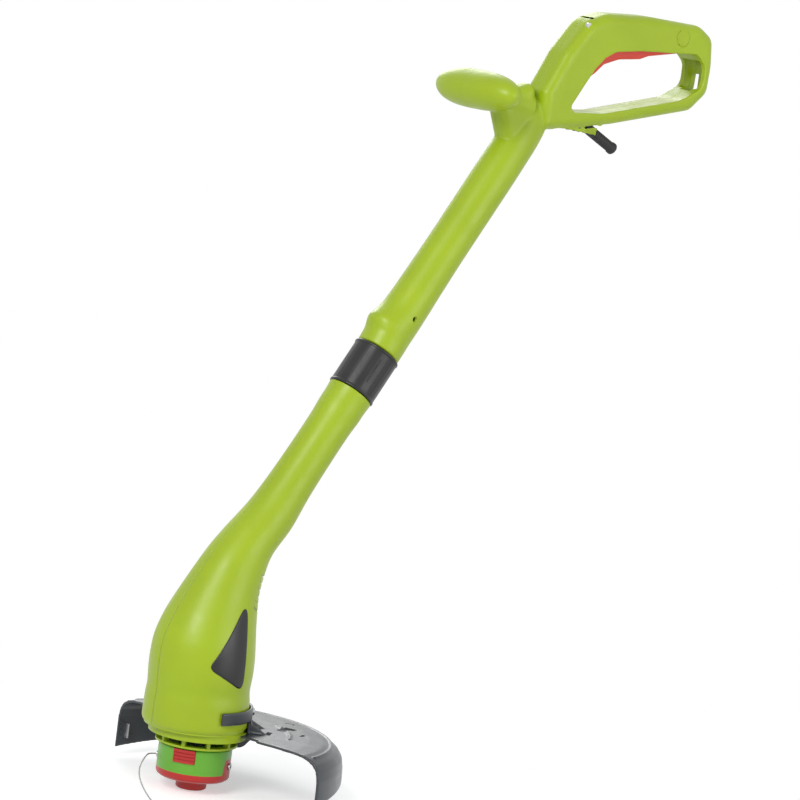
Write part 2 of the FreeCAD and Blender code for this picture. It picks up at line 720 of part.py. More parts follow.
def guard_screw_shapes():
    """Radial screws that hold the guard's arms to the housing."""
    wall = float(size("guard_wall")) + 0.6
    outer = float(size("housing_radius")) + float(size("running_gap"))
    screws = []
    for angle in (-28, 28):
        way = around(angle, 1.0, 0)
        start = around(angle, outer - 2, 77.5) - Vector(float(size("housing_set_back")), 0, 0)
        shank = Part.makeCylinder(2.0, wall + 2.0, start, way)
        screws.append(shank.fuse(Part.makeCylinder(3.6, 1.8, start + way * (wall + 2.0), way)))
    return Part.makeCompound(screws)


def cutter_spot(offset):
    """A fixing point of the line cutter on the end of the skirt away from the hand side."""
    radius = float(size("guard_radius"))
    return around(GUARD_FROM + 3.0, radius, 0) + Vector(0, -float(size("guard_aside")), 25.0 + offset)


def cutter_blade():
    """A thin blade that stands inwards from the skirt's end."""
    radius, wall = float(size("guard_radius")), float(size("guard_wall"))
    blade = Part.makeBox(1.4, 9.0, 14.0, Vector(-0.7, radius - wall - 8.0, 18.0))
    blade.rotate(Vector(), Z_AXIS, -(GUARD_FROM + 90) - 3.0)
    blade.translate(Vector(0, -float(size("guard_aside")), 0))
    return blade


def line_cutter():
    feature("line_cutter", cutter_blade())


# ---------------------------------------------------------------- collar and swivel
def collar():
    radius, wall, length = size("collar_radius"), size("collar_wall"), size("collar_length")
    chamfer = 2.0
    blank = turned("collar_blank", [
        (radius - wall, 0), (radius - chamfer, 0), (radius, chamfer), (radius, length - chamfer),
        (radius - chamfer, length), (radius - wall, length)])
    doc.recompute()
    shape = blank.Shape.copy()
    for step in range(16):
        flute = Part.makeCylinder(1.5, float(length) - 12, Vector(float(radius) + 1.2, 0, 6))
        flute.rotate(Vector(), Z_AXIS, 22.5 * step)
        shape = shape.cut(flute)
    start = along_shaft(-float(length) / 2)
    feature("collar", shape, Placement(start, LEANING))


def swivel():
    spigot, wall = size("spigot_radius"), size("spigot_wall")
    stop = size("collar_length") / 2 + size("running_gap")
    rod = tube("swivel_spigot", spigot, spigot - wall, 2 * stop + 24.0)
    start = along_shaft(-float(stop) - 12.0)
    rod.Placement = Placement(start, LEANING)
    part(rod, "swivel_spigot")
    bore = spigot + size("fit_gap")
    outer = size("collar_radius") - size("collar_wall") - size("fit_gap")
    seat = size("shaft_tube_radius") - 1.2 - size("fit_gap")
    clear = 0.15
    body = turned("swivel_socket", [
        (bore, 0), (outer, 0), (outer, 2 * stop - clear), (seat, 2 * stop - clear),
        (seat, 2 * stop + 18.0), (bore, 2 * stop + 18.0)])
    body.Placement = Placement(along_shaft(-float(stop) + clear), LEANING)
    part(body, "swivel_socket")


# ---------------------------------------------------------------- handle
def handle_outline():
    """Outer corners of the D-handle with the corner radii."""
    grip = float(size("grip_length"))
    rows = (
        (3.0, 42.0, 6.0), (23.0, 82.0, 20.0), (45.0, 112.0, 20.0), (70.0, 121.0, 30.0),
        (66.0 + grip * 0.5, 122.5, 200.0), (70.0 + grip, 117.5, 14.0),
        (86.0 + grip, 106.0, 10.0), (86.5 + grip, 54.0, 14.0), (68.0 + grip, 36.0, 10.0),
        (103.0, 15.0, 60.0), (90.0, 12.5, 4.0), (88.5, -1.0, 3.0), (77.0, -9.0, 4.0),
        (22.0, 4.5, 20.0), (2.0, 2.0, 12.0))
    return [at_junction(x, z) for x, z, bend in rows], [bend for x, z, bend in rows]


def opening_outline():
    """Corners of the hand opening with the corner radii."""
    grip = float(size("grip_length"))
    under = 122.0 - float(size("grip_thickness"))
    rear = 83.5 + grip - float(size("strap"))
    rows = (
        (40.0, 29.0, 8.0), (44.0, 24.6, 4.0), (82.0, 24.6, 60.0), (52.0 + grip, 44.0, 30.0),
        (rear, 58.0, 14.0), (rear, 80.0, 10.0), (rear - 12.0, under, 8.0), (72.0, under, 14.0),
        (53.5, 57.5, 20.0))
    return [at_junction(x, z) for x, z, bend in rows], [bend for x, z, bend in rows]


def rounded_plate(corners, radii, width, edge):
    """A plate across Y with its outline edges rounded."""
    solid = plate(corners, width, radii)
    rims = [item for item in solid.Edges
            if item.BoundBox.YLength < 1e-3 and abs(abs(item.BoundBox.YMin) - width / 2) < 1e-3]
    return solid.makeFillet(edge, rims)


def handle_shaft_stations(inset):
    tube_radius = float(size("shaft_tube_radius"))
    start = float(size("collar_length")) / 2 + float(size("running_gap"))
    length = float(size("shaft_length"))
    seat = tube_radius - 1.2
    rows = ((start, tube_radius + 1.8), (start + 9, tube_radius + 3.6), (start + 19, tube_radius + 3.8),
            (start + 40, tube_radius + 1.5), (start + 80, tube_radius + 0.4),
            (start + 140, tube_radius), (length, tube_radius), (length + 30, tube_radius))
    stations = []
    for index, (distance, radius) in enumerate(rows):
        inner = seat if index < 3 else radius - inset
        stations.append((along_shaft(distance), SHAFT_WAY, inner if inset else radius))
    return stations


def front_grip_spot():
    return JUNCTION + Vector(-61.5, 0, 38.0)


def front_neck_shape(radius):
    start = front_grip_spot()
    way = JUNCTION + Vector(2.0, 0, 20.0) - start
    return Part.makeCylinder(radius, way.Length, start, way)


def spindle(radius, half):
    """The transverse front grip: a full-bodied spindle along Y."""
    stations = []
    for share in (0.0, 0.06, 0.2, 0.4, 0.7, 1.0, 1.3, 1.6, 1.8, 1.94, 2.0):
        place_along = half * (share - 1)
        fullness = (1 - min(1.0, abs(share - 1)) ** 2.6) ** 0.5
        stations.append((front_grip_spot() + Vector(0, place_along, 0), Y_AXIS, max(radius * fullness, 2.0)))
    return round_loft(stations)


def handle_shells():
    wall = float(size("handle_wall"))
    width, edge = float(size("handle_width")), float(size("handle_edge"))
    corners, radii = handle_outline()
    frame = rounded_plate(corners, radii, width, edge)
    opening, bends = opening_outline()
    frame = frame.cut(plate(opening, width + 2, bends))
    hook = plate([at_junction(*spot) for spot in (
        (160.0, 49.6), (165.0, 46.4), (173.0, 45.4), (182.0, 36.0), (190.0, 40.0), (186.0, 53.0), (172.0, 53.0))],
        14.0, (1.0, 1.0, 1.0, 1.0, 1.0, 1.0, 3.0))
    frame = frame.fuse(hook)
    window_x, window_z = at_junction(200.0, 53.0)
    frame = frame.cut(Part.makeBox(40, 14.8, 17, Vector(window_x, -7.4, window_z)))
    shaft = round_loft(handle_shaft_stations(0.0))
    shape = frame.fuse(shaft)
    shape = shape.cut(grip_cavity())
    shape = shape.cut(round_loft(handle_shaft_stations(wall)))
    boss = Part.makeCylinder(4.5, 60.0, along_shaft(66.0) - Vector(0, 30, 0), Y_AXIS)
    shape = shape.fuse(boss.common(shaft))
    shape = shape.cut(front_neck_shape(float(size("front_neck_radius")) + 0.05))
    root = float(size("sleeve_root"))
    shape = shape.cut(sleeve_solid(float(size("sleeve_radius")), root + 22.0, -root))
    shape = shape.cut(clamp_shape(0.0))
    pin = pivot_spot()
    for step in range(9):
        sweep = trigger_shape(float(size("trigger_width")) + 1.2, 0.8)
        sweep.rotate(pin, Y_AXIS, step * float(size("trigger_angle")) / 8)
        shape = shape.cut(sweep)
    shape = shape.cut(Part.makeCylinder(2.5, width - 6, pin - Vector(0, (width - 6) / 2, 0), Y_AXIS))
    shape = shape.cut(screw_shapes())
    shape = shape.removeSplitter()
    feature("handle_shell_left", side(shape, -1))
    feature("handle_shell_right", side(shape, 1))


def grip_cavity():
    """The hollow inside the grip and the front post, with the trigger's slot."""
    wall, width = float(size("handle_wall")), float(size("handle_width"))
    grip, thick = float(size("grip_length")), float(size("grip_thickness"))
    top = 121.0 - wall - 1.0
    under = 122.0 - thick + wall
    inner = plate([at_junction(*spot) for spot in (
        (60.0, under), (60.0 + grip, under), (60.0 + grip, top - 3.0), (62.0, top))],
        width - 2 * wall, (2.0, 3.0, 3.0, 3.0))
    post = plate([at_junction(*spot) for spot in (
        (11.0, 24.0), (30.0, 20.0), (44.0, 60.0), (64.0, under), (64.0, top), (55.0, 108.0), (29.0, 74.0))],
        width - 2 * wall - 6.0, (2.0, 3.0, 8.0, 2.0, 2.0, 8.0, 8.0))
    slot = plate([at_junction(*spot) for spot in (
        (61.0, 56.0), (188.0, 84.0), (188.0, under + 4.0), (61.0, under + 4.0))],
        float(size("trigger_width")) + 1.2, (1.0, 1.0, 1.0, 1.0))
    return inner.fuse(post).fuse(slot)


def pivot_spot():
    """The trigger's pivot near the rear end of the grip."""
    return JUNCTION + Vector(182.5, 0, 97.0)


def trigger_shape(width, grow=0.0):
    corners = [at_junction(*spot) for spot in (
        (62.0, 59.0), (70.0, 58.0), (77.0, 62.5), (87.0, 71.5), (106.0, 77.5), (133.0, 79.8),
        (144.0, 83.5), (186.0, 89.0), (188.0, 98.0), (182.0, 102.5), (150.0, 97.0), (96.0, 94.5),
        (70.0, 90.5), (63.0, 70.0))]
    solid = plate(corners, width, (3.0, 2.0, 4.0, 10.0, 14.0, 12.0, 6.0, 3.0, 4.0, 4.0, 6.0, 6.0, 4.0, 6.0))
    if grow == 0.0:
        return solid
    face = max(solid.Faces, key=lambda item: item.CenterOfMass.y)
    return Part.Face(face.OuterWire.makeOffset2D(grow)).extrude(Vector(0, -width, 0))


def trigger():
    solid = trigger_shape(float(size("trigger_width")))
    bore = Part.makeCylinder(2.5 + float(size("fit_gap")), 60, pivot_spot() - Vector(0, 30, 0), Y_AXIS)
    feature("trigger", solid.cut(bore))
    pin = Part.makeCylinder(2.5, float(size("handle_width")) - 6.0,
                            pivot_spot() - Vector(0, (float(size("handle_width")) - 6.0) / 2, 0), Y_AXIS)
    feature("trigger_pin", pin)


def switch():
    body_width = 14.0
    x, z = at_junction(112.0, 104.6)
    block = Part.makeBox(30, body_width, 10.5, Vector(x, -body_width / 2, z))
    hole = Part.makeBox(5, 5, 9.2, Vector(x + 12.5, -2.5, z - 0.5))
    feature("switch_body", block.cut(hole))
    plunger = Part.makeBox(4.8, 4.8, 10.4, Vector(x + 12.6, -2.4, z - 8.2))
    feature("switch_plunger", plunger)
    cap_x, cap_z = at_junction(74.0, 106.3)
    capacitor = Part.makeCylinder(5.0, 22, Vector(cap_x, 0, cap_z + 4.9), X_AXIS)
    feature("capacitor", capacitor)
    spring_x, spring_z = at_junction(98.0, 95.6)
    spring = coil(3.6, 0.5, 20.3, 5)
    feature("trigger_spring", spring, Placement(Vector(spring_x + 6.5, 0, spring_z + 0.1), Rotation()))


def sleeve_start():
    return JUNCTION + Vector(84.0, 0, 8.0)


SLEEVE_WAY = Vector(math.cos(math.radians(27)), 0, -math.sin(math.radians(27)))


def sleeve_solid(radius, length, offset=0.0):
    return Part.makeCylinder(radius, length, sleeve_start() + SLEEVE_WAY * offset, SLEEVE_WAY)


def cord_sleeve():
    radius, bore, length = float(size("sleeve_radius")), float(size("sleeve_bore")), float(size("sleeve_length"))
    root = float(size("sleeve_root"))
    shape = sleeve_solid(radius, root + length + 10.0, -root)
    for step in range(7):
        ring = sleeve_solid(radius + 2, 1.6, 16.0 + 3.2 * step)
        shape = shape.cut(ring.cut(sleeve_solid(radius - 0.9, 1.6, 16.0 + 3.2 * step)))
    shape = shape.fuse(sleeve_solid(radius + 0.7, 2.2, length + 7.8))
    shape = shape.cut(sleeve_solid(bore, root + length + 20.0, -root - 5))
    feature("cord_sleeve", shape.removeSplitter())


def screw_spots():
    """Handle screws: the lowest one is on the shaft, the others along the D."""
    spots = [along_shaft(66.0)]
    for x, z in ((206.0, 47.0), (56.0, 108.0), (207.0, 100.0)):
        corner = at_junction(x, z)
        spots.append(Vector(corner[0], 0, corner[1]))
    return spots


def screw_shapes():
    """Screws that run across the two shells, with their heads on the left."""
    screws = []
    for spot in screw_spots():
        shank = Part.makeCylinder(1.6, 22.0, spot - Vector(0, 11, 0), Y_AXIS)
        head = Part.makeCylinder(3.0, 3.0, spot - Vector(0, 14, 0), Y_AXIS)
        screws.append(shank.fuse(head))
    return Part.makeCompound(screws)


def handle_small_parts():
    feature("handle_screws", screw_shapes())
    leads = []
    begin = 22.0
    for offset in (-2.2, 2.2):
        length = float(size("shaft_length")) - begin - 30.0
        leads.append(Part.makeCylinder(1.6, length, along_shaft(begin + 30.0, offset, 15.4), SHAFT_WAY))
    feature("handle_leads", Part.makeCompound(leads))
    feature("cord_clamp", clamp_shape(3.4))


def clamp_shape(bore):
    """The saddle behind the sleeve that grips the cord."""
    height, depth = float(size("clamp_height")), 5.0
    clamp = Part.makeBox(depth, 16, height, Vector(0, -8, -height / 2))
    if bore > 0:
        clamp = clamp.cut(Part.makeCylinder(bore, depth, Vector(0, 0, 0), X_AXIS))
    behind = float(size("sleeve_root")) + depth
    clamp.Placement = Placement(sleeve_start() - SLEEVE_WAY * behind, Rotation(Y_AXIS, 27))
    return clamp


def front_grip():
    half = float(size("front_grip_length")) / 2
    radius = float(size("front_grip_radius"))
    shape = spindle(radius, half).fuse(front_neck_shape(float(size("front_neck_radius"))))
    shape = shape.cut(round_loft(handle_shaft_stations(float(size("handle_wall")))))
    feature("front_grip", shape)


# ---------------------------------------------------------------- the whole trimmer
tap_button()
spool_cover()
line_eyelets()
latches()
spool_cup()
line_spool()
spool_spring()
hub_nut()
cutting_line()
motor_shaft()
drive_hub()
cooling_fan()
armature()
motor_shells()
badges()
vent_ring()
motor()
motor_wiring()
motor_shell_screws()
guard()
guard_tongue()
line_cutter()
collar()
swivel()
handle_shells()
trigger()
switch()
cord_sleeve()
handle_small_parts()
front_grip()

doc.recompute()
for item in doc.Objects:
    if "Invalid" in item.State or "Error" in item.State:
        raise RuntimeError(f"{item.Label}: {item.State}")
os.makedirs("parts", exist_ok=True)
for item in PARTS:
    if item.Shape.isNull() or not item.Shape.isValid() or item.Shape.Volume <= 0:
        raise RuntimeError(f"{item.Label} has no valid shape")
    print(f"{item.Label:22s} {len(item.Shape.Solids)} {item.Shape.Volume:10.1f}")
    item.Shape.exportStep(f"parts/{item.Label}.step")
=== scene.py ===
"""Materials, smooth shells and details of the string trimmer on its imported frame."""
import json
import math

import bmesh
import bpy
from mathutils.bvhtree import BVHTree
from mathutils import Matrix, Vector

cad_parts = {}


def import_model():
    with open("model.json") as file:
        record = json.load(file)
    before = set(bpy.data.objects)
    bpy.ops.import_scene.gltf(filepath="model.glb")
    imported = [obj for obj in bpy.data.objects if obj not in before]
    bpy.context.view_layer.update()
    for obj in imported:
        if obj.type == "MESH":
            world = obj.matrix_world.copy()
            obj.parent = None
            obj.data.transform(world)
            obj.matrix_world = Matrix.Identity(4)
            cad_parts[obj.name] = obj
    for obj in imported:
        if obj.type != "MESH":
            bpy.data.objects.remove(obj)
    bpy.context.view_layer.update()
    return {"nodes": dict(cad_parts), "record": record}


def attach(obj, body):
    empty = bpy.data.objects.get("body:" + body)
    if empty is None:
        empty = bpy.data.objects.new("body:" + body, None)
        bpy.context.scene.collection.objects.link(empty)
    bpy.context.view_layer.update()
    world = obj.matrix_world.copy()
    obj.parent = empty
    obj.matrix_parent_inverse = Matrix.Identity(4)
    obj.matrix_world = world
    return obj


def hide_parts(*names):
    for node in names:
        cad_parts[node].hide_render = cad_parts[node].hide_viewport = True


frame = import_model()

MM = 0.001

# ------------------------------------------------------------------ axes of the object
LEAN = math.radians(33.6)
SHAFT_WAY = Vector((math.sin(LEAN), 0.0, math.cos(LEAN)))
AHEAD = Vector((-SHAFT_WAY.z, 0.0, SHAFT_WAY.x))
BEND = Vector((-5.0, 0.0, 170.5))
COLLAR = BEND + SHAFT_WAY * 270.2
JUNCTION = COLLAR + SHAFT_WAY * 283.8
BACK = -5.0


def along_shaft(distance, sideways=0.0, forward=0.0):
    """A point at or beside the shaft's axis, in millimetres from the middle of the collar."""
    return COLLAR + SHAFT_WAY * distance + Vector((0, sideways, 0)) + AHEAD * forward


def around(angle, radius, height):
    """The point at an angle in degrees from +X towards -Y, in millimetres."""
    turn = math.radians(angle)
    return Vector((radius * math.cos(turn), -radius * math.sin(turn), height))


def at_junction(x, z, y=0.0):
    return Vector((JUNCTION.x + x, y, JUNCTION.z + z))


# ------------------------------------------------------------------ camera, floor and light
def camera():
    """The camera looks at the trimmer from its front left, a little from above, and is rolled."""
    azimuth, elevation, roll = math.radians(-40.0), math.radians(7.6), math.radians(7.3)
    distance, sensor, view_width = 4.0, 36.0, 0.76
    target = Vector((0.193, 0.0, 0.3698))
    back = Vector((math.sin(azimuth) * math.cos(elevation),
                   -math.cos(azimuth) * math.cos(elevation), math.sin(elevation)))
    right = Vector((math.cos(azimuth), math.sin(azimuth), 0.0))
    up = back.cross(right)
    across = right * math.cos(roll) + up * math.sin(roll)
    upward = up * math.cos(roll) - right * math.sin(roll)
    data = bpy.data.cameras.new("Camera")
    data.sensor_width = sensor
    data.lens = sensor * distance / view_width
    data.clip_start, data.clip_end = 0.1, 60.0
    obj = bpy.data.objects.new("Camera", data)
    bpy.context.collection.objects.link(obj)
    turn = Matrix((across, upward, back)).transposed().to_4x4()
    obj.matrix_world = Matrix.Translation(target + back * distance) @ turn
    bpy.context.scene.camera = obj


def camera_rays(tree):
    """Is 1 for camera, glossy and transmission rays, and 0 for the rays that light the object."""
    path = tree.nodes.new("ShaderNodeLightPath")
    total = path.outputs["Is Camera Ray"]
    for name in ("Is Glossy Ray", "Is Transmission Ray"):
        either = tree.nodes.new("ShaderNodeMath")
        either.operation = "MAXIMUM"
        tree.links.new(total, either.inputs[0])
        tree.links.new(path.outputs[name], either.inputs[1])
        total = either.outputs[0]
    return total


def world():
    scene = bpy.context.scene
    scene.view_settings.view_transform = "Standard"
    made = bpy.data.worlds.new("Studio")
    scene.world = made
    made.use_nodes = True
    tree = made.node_tree
    tree.nodes.clear()
    out = tree.nodes.new("ShaderNodeOutputWorld")
    soft = tree.nodes.new("ShaderNodeBackground")
    soft.inputs[0].default_value = (0.93, 0.96, 1.0, 1.0)
    soft.inputs[1].default_value = 0.42
    white = tree.nodes.new("ShaderNodeBackground")
    white.inputs[0].default_value = (1.0, 1.0, 1.0, 1.0)
    white.inputs[1].default_value = 1.0
    mix = tree.nodes.new("ShaderNodeMixShader")
    tree.links.new(camera_rays(tree), mix.inputs[0])
    tree.links.new(soft.outputs[0], mix.inputs[1])
    tree.links.new(white.outputs[0], mix.inputs[2])
    tree.links.new(mix.outputs[0], out.inputs[0])


def floor():
    """A pale floor that keeps the trimmer's shadow and is white to the camera elsewhere."""
    mesh = bpy.data.meshes.new("Floor")
    half = 6.0
    mesh.from_pydata([(-half, -half, -0.001), (half, -half, -0.001), (half, half, -0.001),
                      (-half, half, -0.001)], [], [(0, 1, 2, 3)])
    obj = bpy.data.objects.new("Floor", mesh)
    bpy.context.collection.objects.link(obj)
    material = bpy.data.materials.new("Pale floor")
    material.use_nodes = True
    tree = material.node_tree
    shader = tree.nodes["Principled BSDF"]
    shader.inputs["Base Color"].default_value = (0.80, 0.80, 0.80, 1)
    shader.inputs["Roughness"].default_value = 0.9
    shader.inputs["Specular IOR Level"].default_value = 0.0
    shader.inputs["Emission Color"].default_value = (1, 1, 1, 1)
    glow = tree.nodes.new("ShaderNodeMath")
    glow.operation = "MULTIPLY"
    glow.inputs[1].default_value = 0.5
    tree.links.new(camera_rays(tree), glow.inputs[0])
    tree.links.new(glow.outputs[0], shader.inputs["Emission Strength"])
    white = tree.nodes.new("ShaderNodeEmission")
    white.inputs["Color"].default_value = (1, 1, 1, 1)
    spot = tree.nodes.new("ShaderNodeTexCoord")
    reach = tree.nodes.new("ShaderNodeVectorMath")
    reach.operation = "LENGTH"
    tree.links.new(spot.outputs["Object"], reach.inputs[0])
    far = tree.nodes.new("ShaderNodeMapRange")
    far.inputs["From Min"].default_value = 0.22
    far.inputs["From Max"].default_value = 0.42
    tree.links.new(reach.outputs["Value"], far.inputs["Value"])
    share = tree.nodes.new("ShaderNodeMath")
    share.operation = "MULTIPLY"
    tree.links.new(far.outputs["Result"], share.inputs[0])
    tree.links.new(camera_rays(tree), share.inputs[1])
    mix = tree.nodes.new("ShaderNodeMixShader")
    tree.links.new(share.outputs[0], mix.inputs[0])
    tree.links.new(shader.outputs[0], mix.inputs[1])
    tree.links.new(white.outputs[0], mix.inputs[2])
    tree.links.new(mix.outputs[0], tree.nodes["Material Output"].inputs["Surface"])
    mesh.materials.append(material)


def lamp(name, place, target, energy, width):
    data = bpy.data.lights.new(name, "AREA")
    data.energy = energy
    data.shape = "DISK"
    data.size = width
    obj = bpy.data.objects.new(name, data)
    bpy.context.collection.objects.link(obj)
    obj.location = place
    obj.rotation_mode = "QUATERNION"
    obj.rotation_quaternion = (Vector(target) - Vector(place)).to_track_quat("-Z", "Y")


def lights():
    middle = (0.2, 0.0, 0.38)
    lamp("Key", (-2.6, -1.4, 2.2), middle, 62, 1.6)
    lamp("Fill", (1.2, -3.2, 1.0), middle, 30, 2.4)
    lamp("Back", (1.5, 2.8, 2.0), middle, 40, 2.0)


# ------------------------------------------------------------------ materials
def moulded(name, colour, roughness, grain=900.0, bump=0.05, shift=0.06, coat=0.0, worn=0.25):
    """Injection-moulded plastic: faint colour drift, fine texture and rubbed edges."""
    material = bpy.data.materials.new(name)
    material.use_nodes = True
    tree = material.node_tree
    nodes, links = tree.nodes, tree.links
    shader = nodes["Principled BSDF"]
    place = nodes.new("ShaderNodeTexCoord")
    drift = nodes.new("ShaderNodeTexNoise")
    drift.inputs["Scale"].default_value = 14.0
    drift.inputs["Detail"].default_value = 5.0
    links.new(place.outputs["Object"], drift.inputs["Vector"])
    ramp = nodes.new("ShaderNodeValToRGB")
    low = [channel * (1 - shift) for channel in colour]
    high = [min(1.0, channel * (1 + shift)) for channel in colour]
    ramp.color_ramp.elements[0].position = 0.3
    ramp.color_ramp.elements[1].position = 0.7
    ramp.color_ramp.elements[0].color = (*low, 1)
    ramp.color_ramp.elements[1].color = (*high, 1)
    links.new(drift.outputs["Fac"], ramp.inputs["Fac"])
    edges = nodes.new("ShaderNodeNewGeometry")
    edge_ramp = nodes.new("ShaderNodeValToRGB")
    edge_ramp.color_ramp.elements[0].position = 0.52
    edge_ramp.color_ramp.elements[1].position = 0.62
    edge_ramp.color_ramp.elements[1].color = (worn, worn, worn, 1)
    links.new(edges.outputs["Pointiness"], edge_ramp.inputs["Fac"])
    rubbed = nodes.new("ShaderNodeMix")
    rubbed.data_type = "RGBA"
    links.new(edge_ramp.outputs["Color"], rubbed.inputs["Factor"])
    links.new(ramp.outputs["Color"], rubbed.inputs[6])
    rubbed.inputs[7].default_value = (*[min(1.0, channel * 1.25 + 0.03) for channel in colour], 1)
    links.new(rubbed.outputs[2], shader.inputs["Base Color"])
    fine = nodes.new("ShaderNodeTexNoise")
    fine.inputs["Scale"].default_value = grain
    fine.inputs["Detail"].default_value = 3.0
    links.new(place.outputs["Object"], fine.inputs["Vector"])
    scuffs = nodes.new("ShaderNodeTexNoise")
    scuffs.inputs["Scale"].default_value = 55.0
    scuffs.inputs["Detail"].default_value = 8.0
    links.new(place.outputs["Object"], scuffs.inputs["Vector"])
    rough = nodes.new("ShaderNodeMapRange")
    rough.inputs["From Min"].default_value = 0.3
    rough.inputs["From Max"].default_value = 0.7
    rough.inputs["To Min"].default_value = max(0.05, roughness - 0.06)
    rough.inputs["To Max"].default_value = roughness + 0.08
    links.new(scuffs.outputs["Fac"], rough.inputs["Value"])
    links.new(rough.outputs["Result"], shader.inputs["Roughness"])
    relief = nodes.new("ShaderNodeBump")
    relief.inputs["Strength"].default_value = bump
    relief.inputs["Distance"].default_value = 0.0004
    links.new(fine.outputs["Fac"], relief.inputs["Height"])
    links.new(relief.outputs["Normal"], shader.inputs["Normal"])
    shader.inputs["Coat Weight"].default_value = coat
    shader.inputs["Coat Roughness"].default_value = 0.25
    return material


def metal(name, colour, roughness, stretch=(40.0, 40.0, 900.0)):
    """Machined metal with fine directional lines."""
    material = bpy.data.materials.new(name)
    material.use_nodes = True
    tree = material.node_tree
    nodes, links = tree.nodes, tree.links
    shader = nodes["Principled BSDF"]
    shader.inputs["Metallic"].default_value = 1.0
    place = nodes.new("ShaderNodeTexCoord")
    mapping = nodes.new("ShaderNodeMapping")
    mapping.inputs["Scale"].default_value = stretch
    lines = nodes.new("ShaderNodeTexNoise")
    lines.inputs["Scale"].default_value = 3.0
    lines.inputs["Detail"].default_value = 6.0
    links.new(place.outputs["Object"], mapping.inputs["Vector"])
    links.new(mapping.outputs["Vector"], lines.inputs["Vector"])
    ramp = nodes.new("ShaderNodeValToRGB")
    ramp.color_ramp.elements[0].color = (*[channel * 0.75 for channel in colour], 1)
    ramp.color_ramp.elements[1].color = (*colour, 1)
    links.new(lines.outputs["Fac"], ramp.inputs["Fac"])
    links.new(ramp.outputs["Color"], shader.inputs["Base Color"])
    rough = nodes.new("ShaderNodeMapRange")
    rough.inputs["To Min"].default_value = max(0.05, roughness - 0.1)
    rough.inputs["To Max"].default_value = roughness + 0.1
    links.new(lines.outputs["Fac"], rough.inputs["Value"])
    links.new(rough.outputs["Result"], shader.inputs["Roughness"])
    relief = nodes.new("ShaderNodeBump")
    relief.inputs["Strength"].default_value = 0.12
    relief.inputs["Distance"].default_value = 0.0002
    links.new(lines.outputs["Fac"], relief.inputs["Height"])
    links.new(relief.outputs["Normal"], shader.inputs["Normal"])
    return material


MATERIALS = {
    "green_shell": moulded("Lime moulded plastic", (0.36, 0.495, 0.006), 0.38, bump=0.06, coat=0.0),
    "cup_green": moulded("Grass green plastic", (0.13, 0.42, 0.02), 0.34, bump=0.04, coat=0.05),
    "red_plastic": moulded("Red plastic", (0.50, 0.012, 0.008), 0.34, bump=0.04, coat=0.05),
    "trigger_red": moulded("Coral red plastic", (0.78, 0.055, 0.03), 0.38, bump=0.05, coat=0.1),
    "guard_grey": moulded("Grey textured plastic", (0.028, 0.034, 0.04), 0.33, grain=1500.0, bump=0.12,
                          shift=0.2, coat=0.15, worn=0.5),
    "black_plastic": moulded("Black plastic", (0.006, 0.006, 0.007), 0.34, bump=0.06, shift=0.2, coat=0.0),
    "sleeve_rubber": moulded("Black rubber", (0.018, 0.018, 0.018), 0.6, bump=0.2, shift=0.2),
    "nylon_line": moulded("Nylon line", (0.42, 0.42, 0.43), 0.3, bump=0.02, shift=0.1),
    "wire_sheath": moulded("Wire sheath", (0.04, 0.05, 0.12), 0.5),
    "board": moulded("Board laminate", (0.2, 0.26, 0.06), 0.5),
    "magnet": moulded("Sintered magnet", (0.06, 0.06, 0.06), 0.6, bump=0.3),
    "steel": metal("Bright steel", (0.56, 0.57, 0.58), 0.32),
    "copper": metal("Copper winding", (0.72, 0.33, 0.16), 0.4, (600.0, 600.0, 60.0)),
    "brass": metal("Brass", (0.75, 0.55, 0.25), 0.35),
}


def dress_frame():
    """Gives every CAD node its procedural material."""
    slots = {item["node"]: item["material_slot"] for item in frame["record"]["subparts"]}
    for name, obj in frame["nodes"].items():
        choice = "trigger_red" if name == "trigger" else slots[name]
        obj.data.materials.clear()
        obj.data.materials.append(MATERIALS[choice])


# ------------------------------------------------------------------ mesh helpers
def piece(name, vertices, faces, material, body, replaced=(), smooth=True):
    """A new mesh from points in millimetres that rides on a body."""
    mesh = bpy.data.meshes.new(name)
    mesh.from_pydata([tuple(point * MM for point in vertex) for vertex in vertices], [], faces)
    mesh.validate()
    mesh.update()
    obj = bpy.data.objects.new(name, mesh)
    bpy.context.collection.objects.link(obj)
    return finish_piece(obj, material, body, replaced, smooth)


def finish_piece(obj, material, body, replaced=(), smooth=True):
    obj.data.materials.clear()
    obj.data.materials.append(MATERIALS[material])
    for polygon in obj.data.polygons:
        polygon.use_smooth = smooth
    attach(obj, body)
    if replaced:
        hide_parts(*replaced)
    return obj


def smooth_between(rows, share):
    """Catmull-Rom value between rows of numbers; share runs from 0 to the last row's index."""
    last = len(rows) - 1
    index = min(int(share), last - 1)
    part = share - index
    a = rows[max(index - 1, 0)]
    b, c = rows[index], rows[index + 1]
    d = rows[min(index + 2, last)]
    out = []
    for p, q, r, w in zip(a, b, c, d):
        out.append(0.5 * (2 * q + (r - p) * part + (2 * p - 5 * q + 4 * r - w) * part ** 2
                          + (3 * q - p - 3 * r + w) * part ** 3))
    return out


def ring_mesh(rings, closed_ends=True):
    """Vertices and faces of a skin through rings of equal length."""
    count = len(rings[0])
    vertices = [point for ring in rings for point in ring]
    faces = []
    for level in range(len(rings) - 1):
        for step in range(count):
            a = level * count + step
            b = level * count + (step + 1) % count
            faces.append((a, b, b + count, a + count))
    if closed_ends:
        faces.append(tuple(reversed(range(count))))
        faces.append(tuple(range((len(rings) - 1) * count, len(rings) * count)))
    return vertices, faces


def raw_object(name, vertices, faces):
    mesh = bpy.data.meshes.new(name)
    mesh.from_pydata([tuple(point * MM for point in vertex) for vertex in vertices], [], faces)
    mesh.validate()
    obj = bpy.data.objects.new(name, mesh)
    bpy.context.collection.objects.link(obj)
    return obj


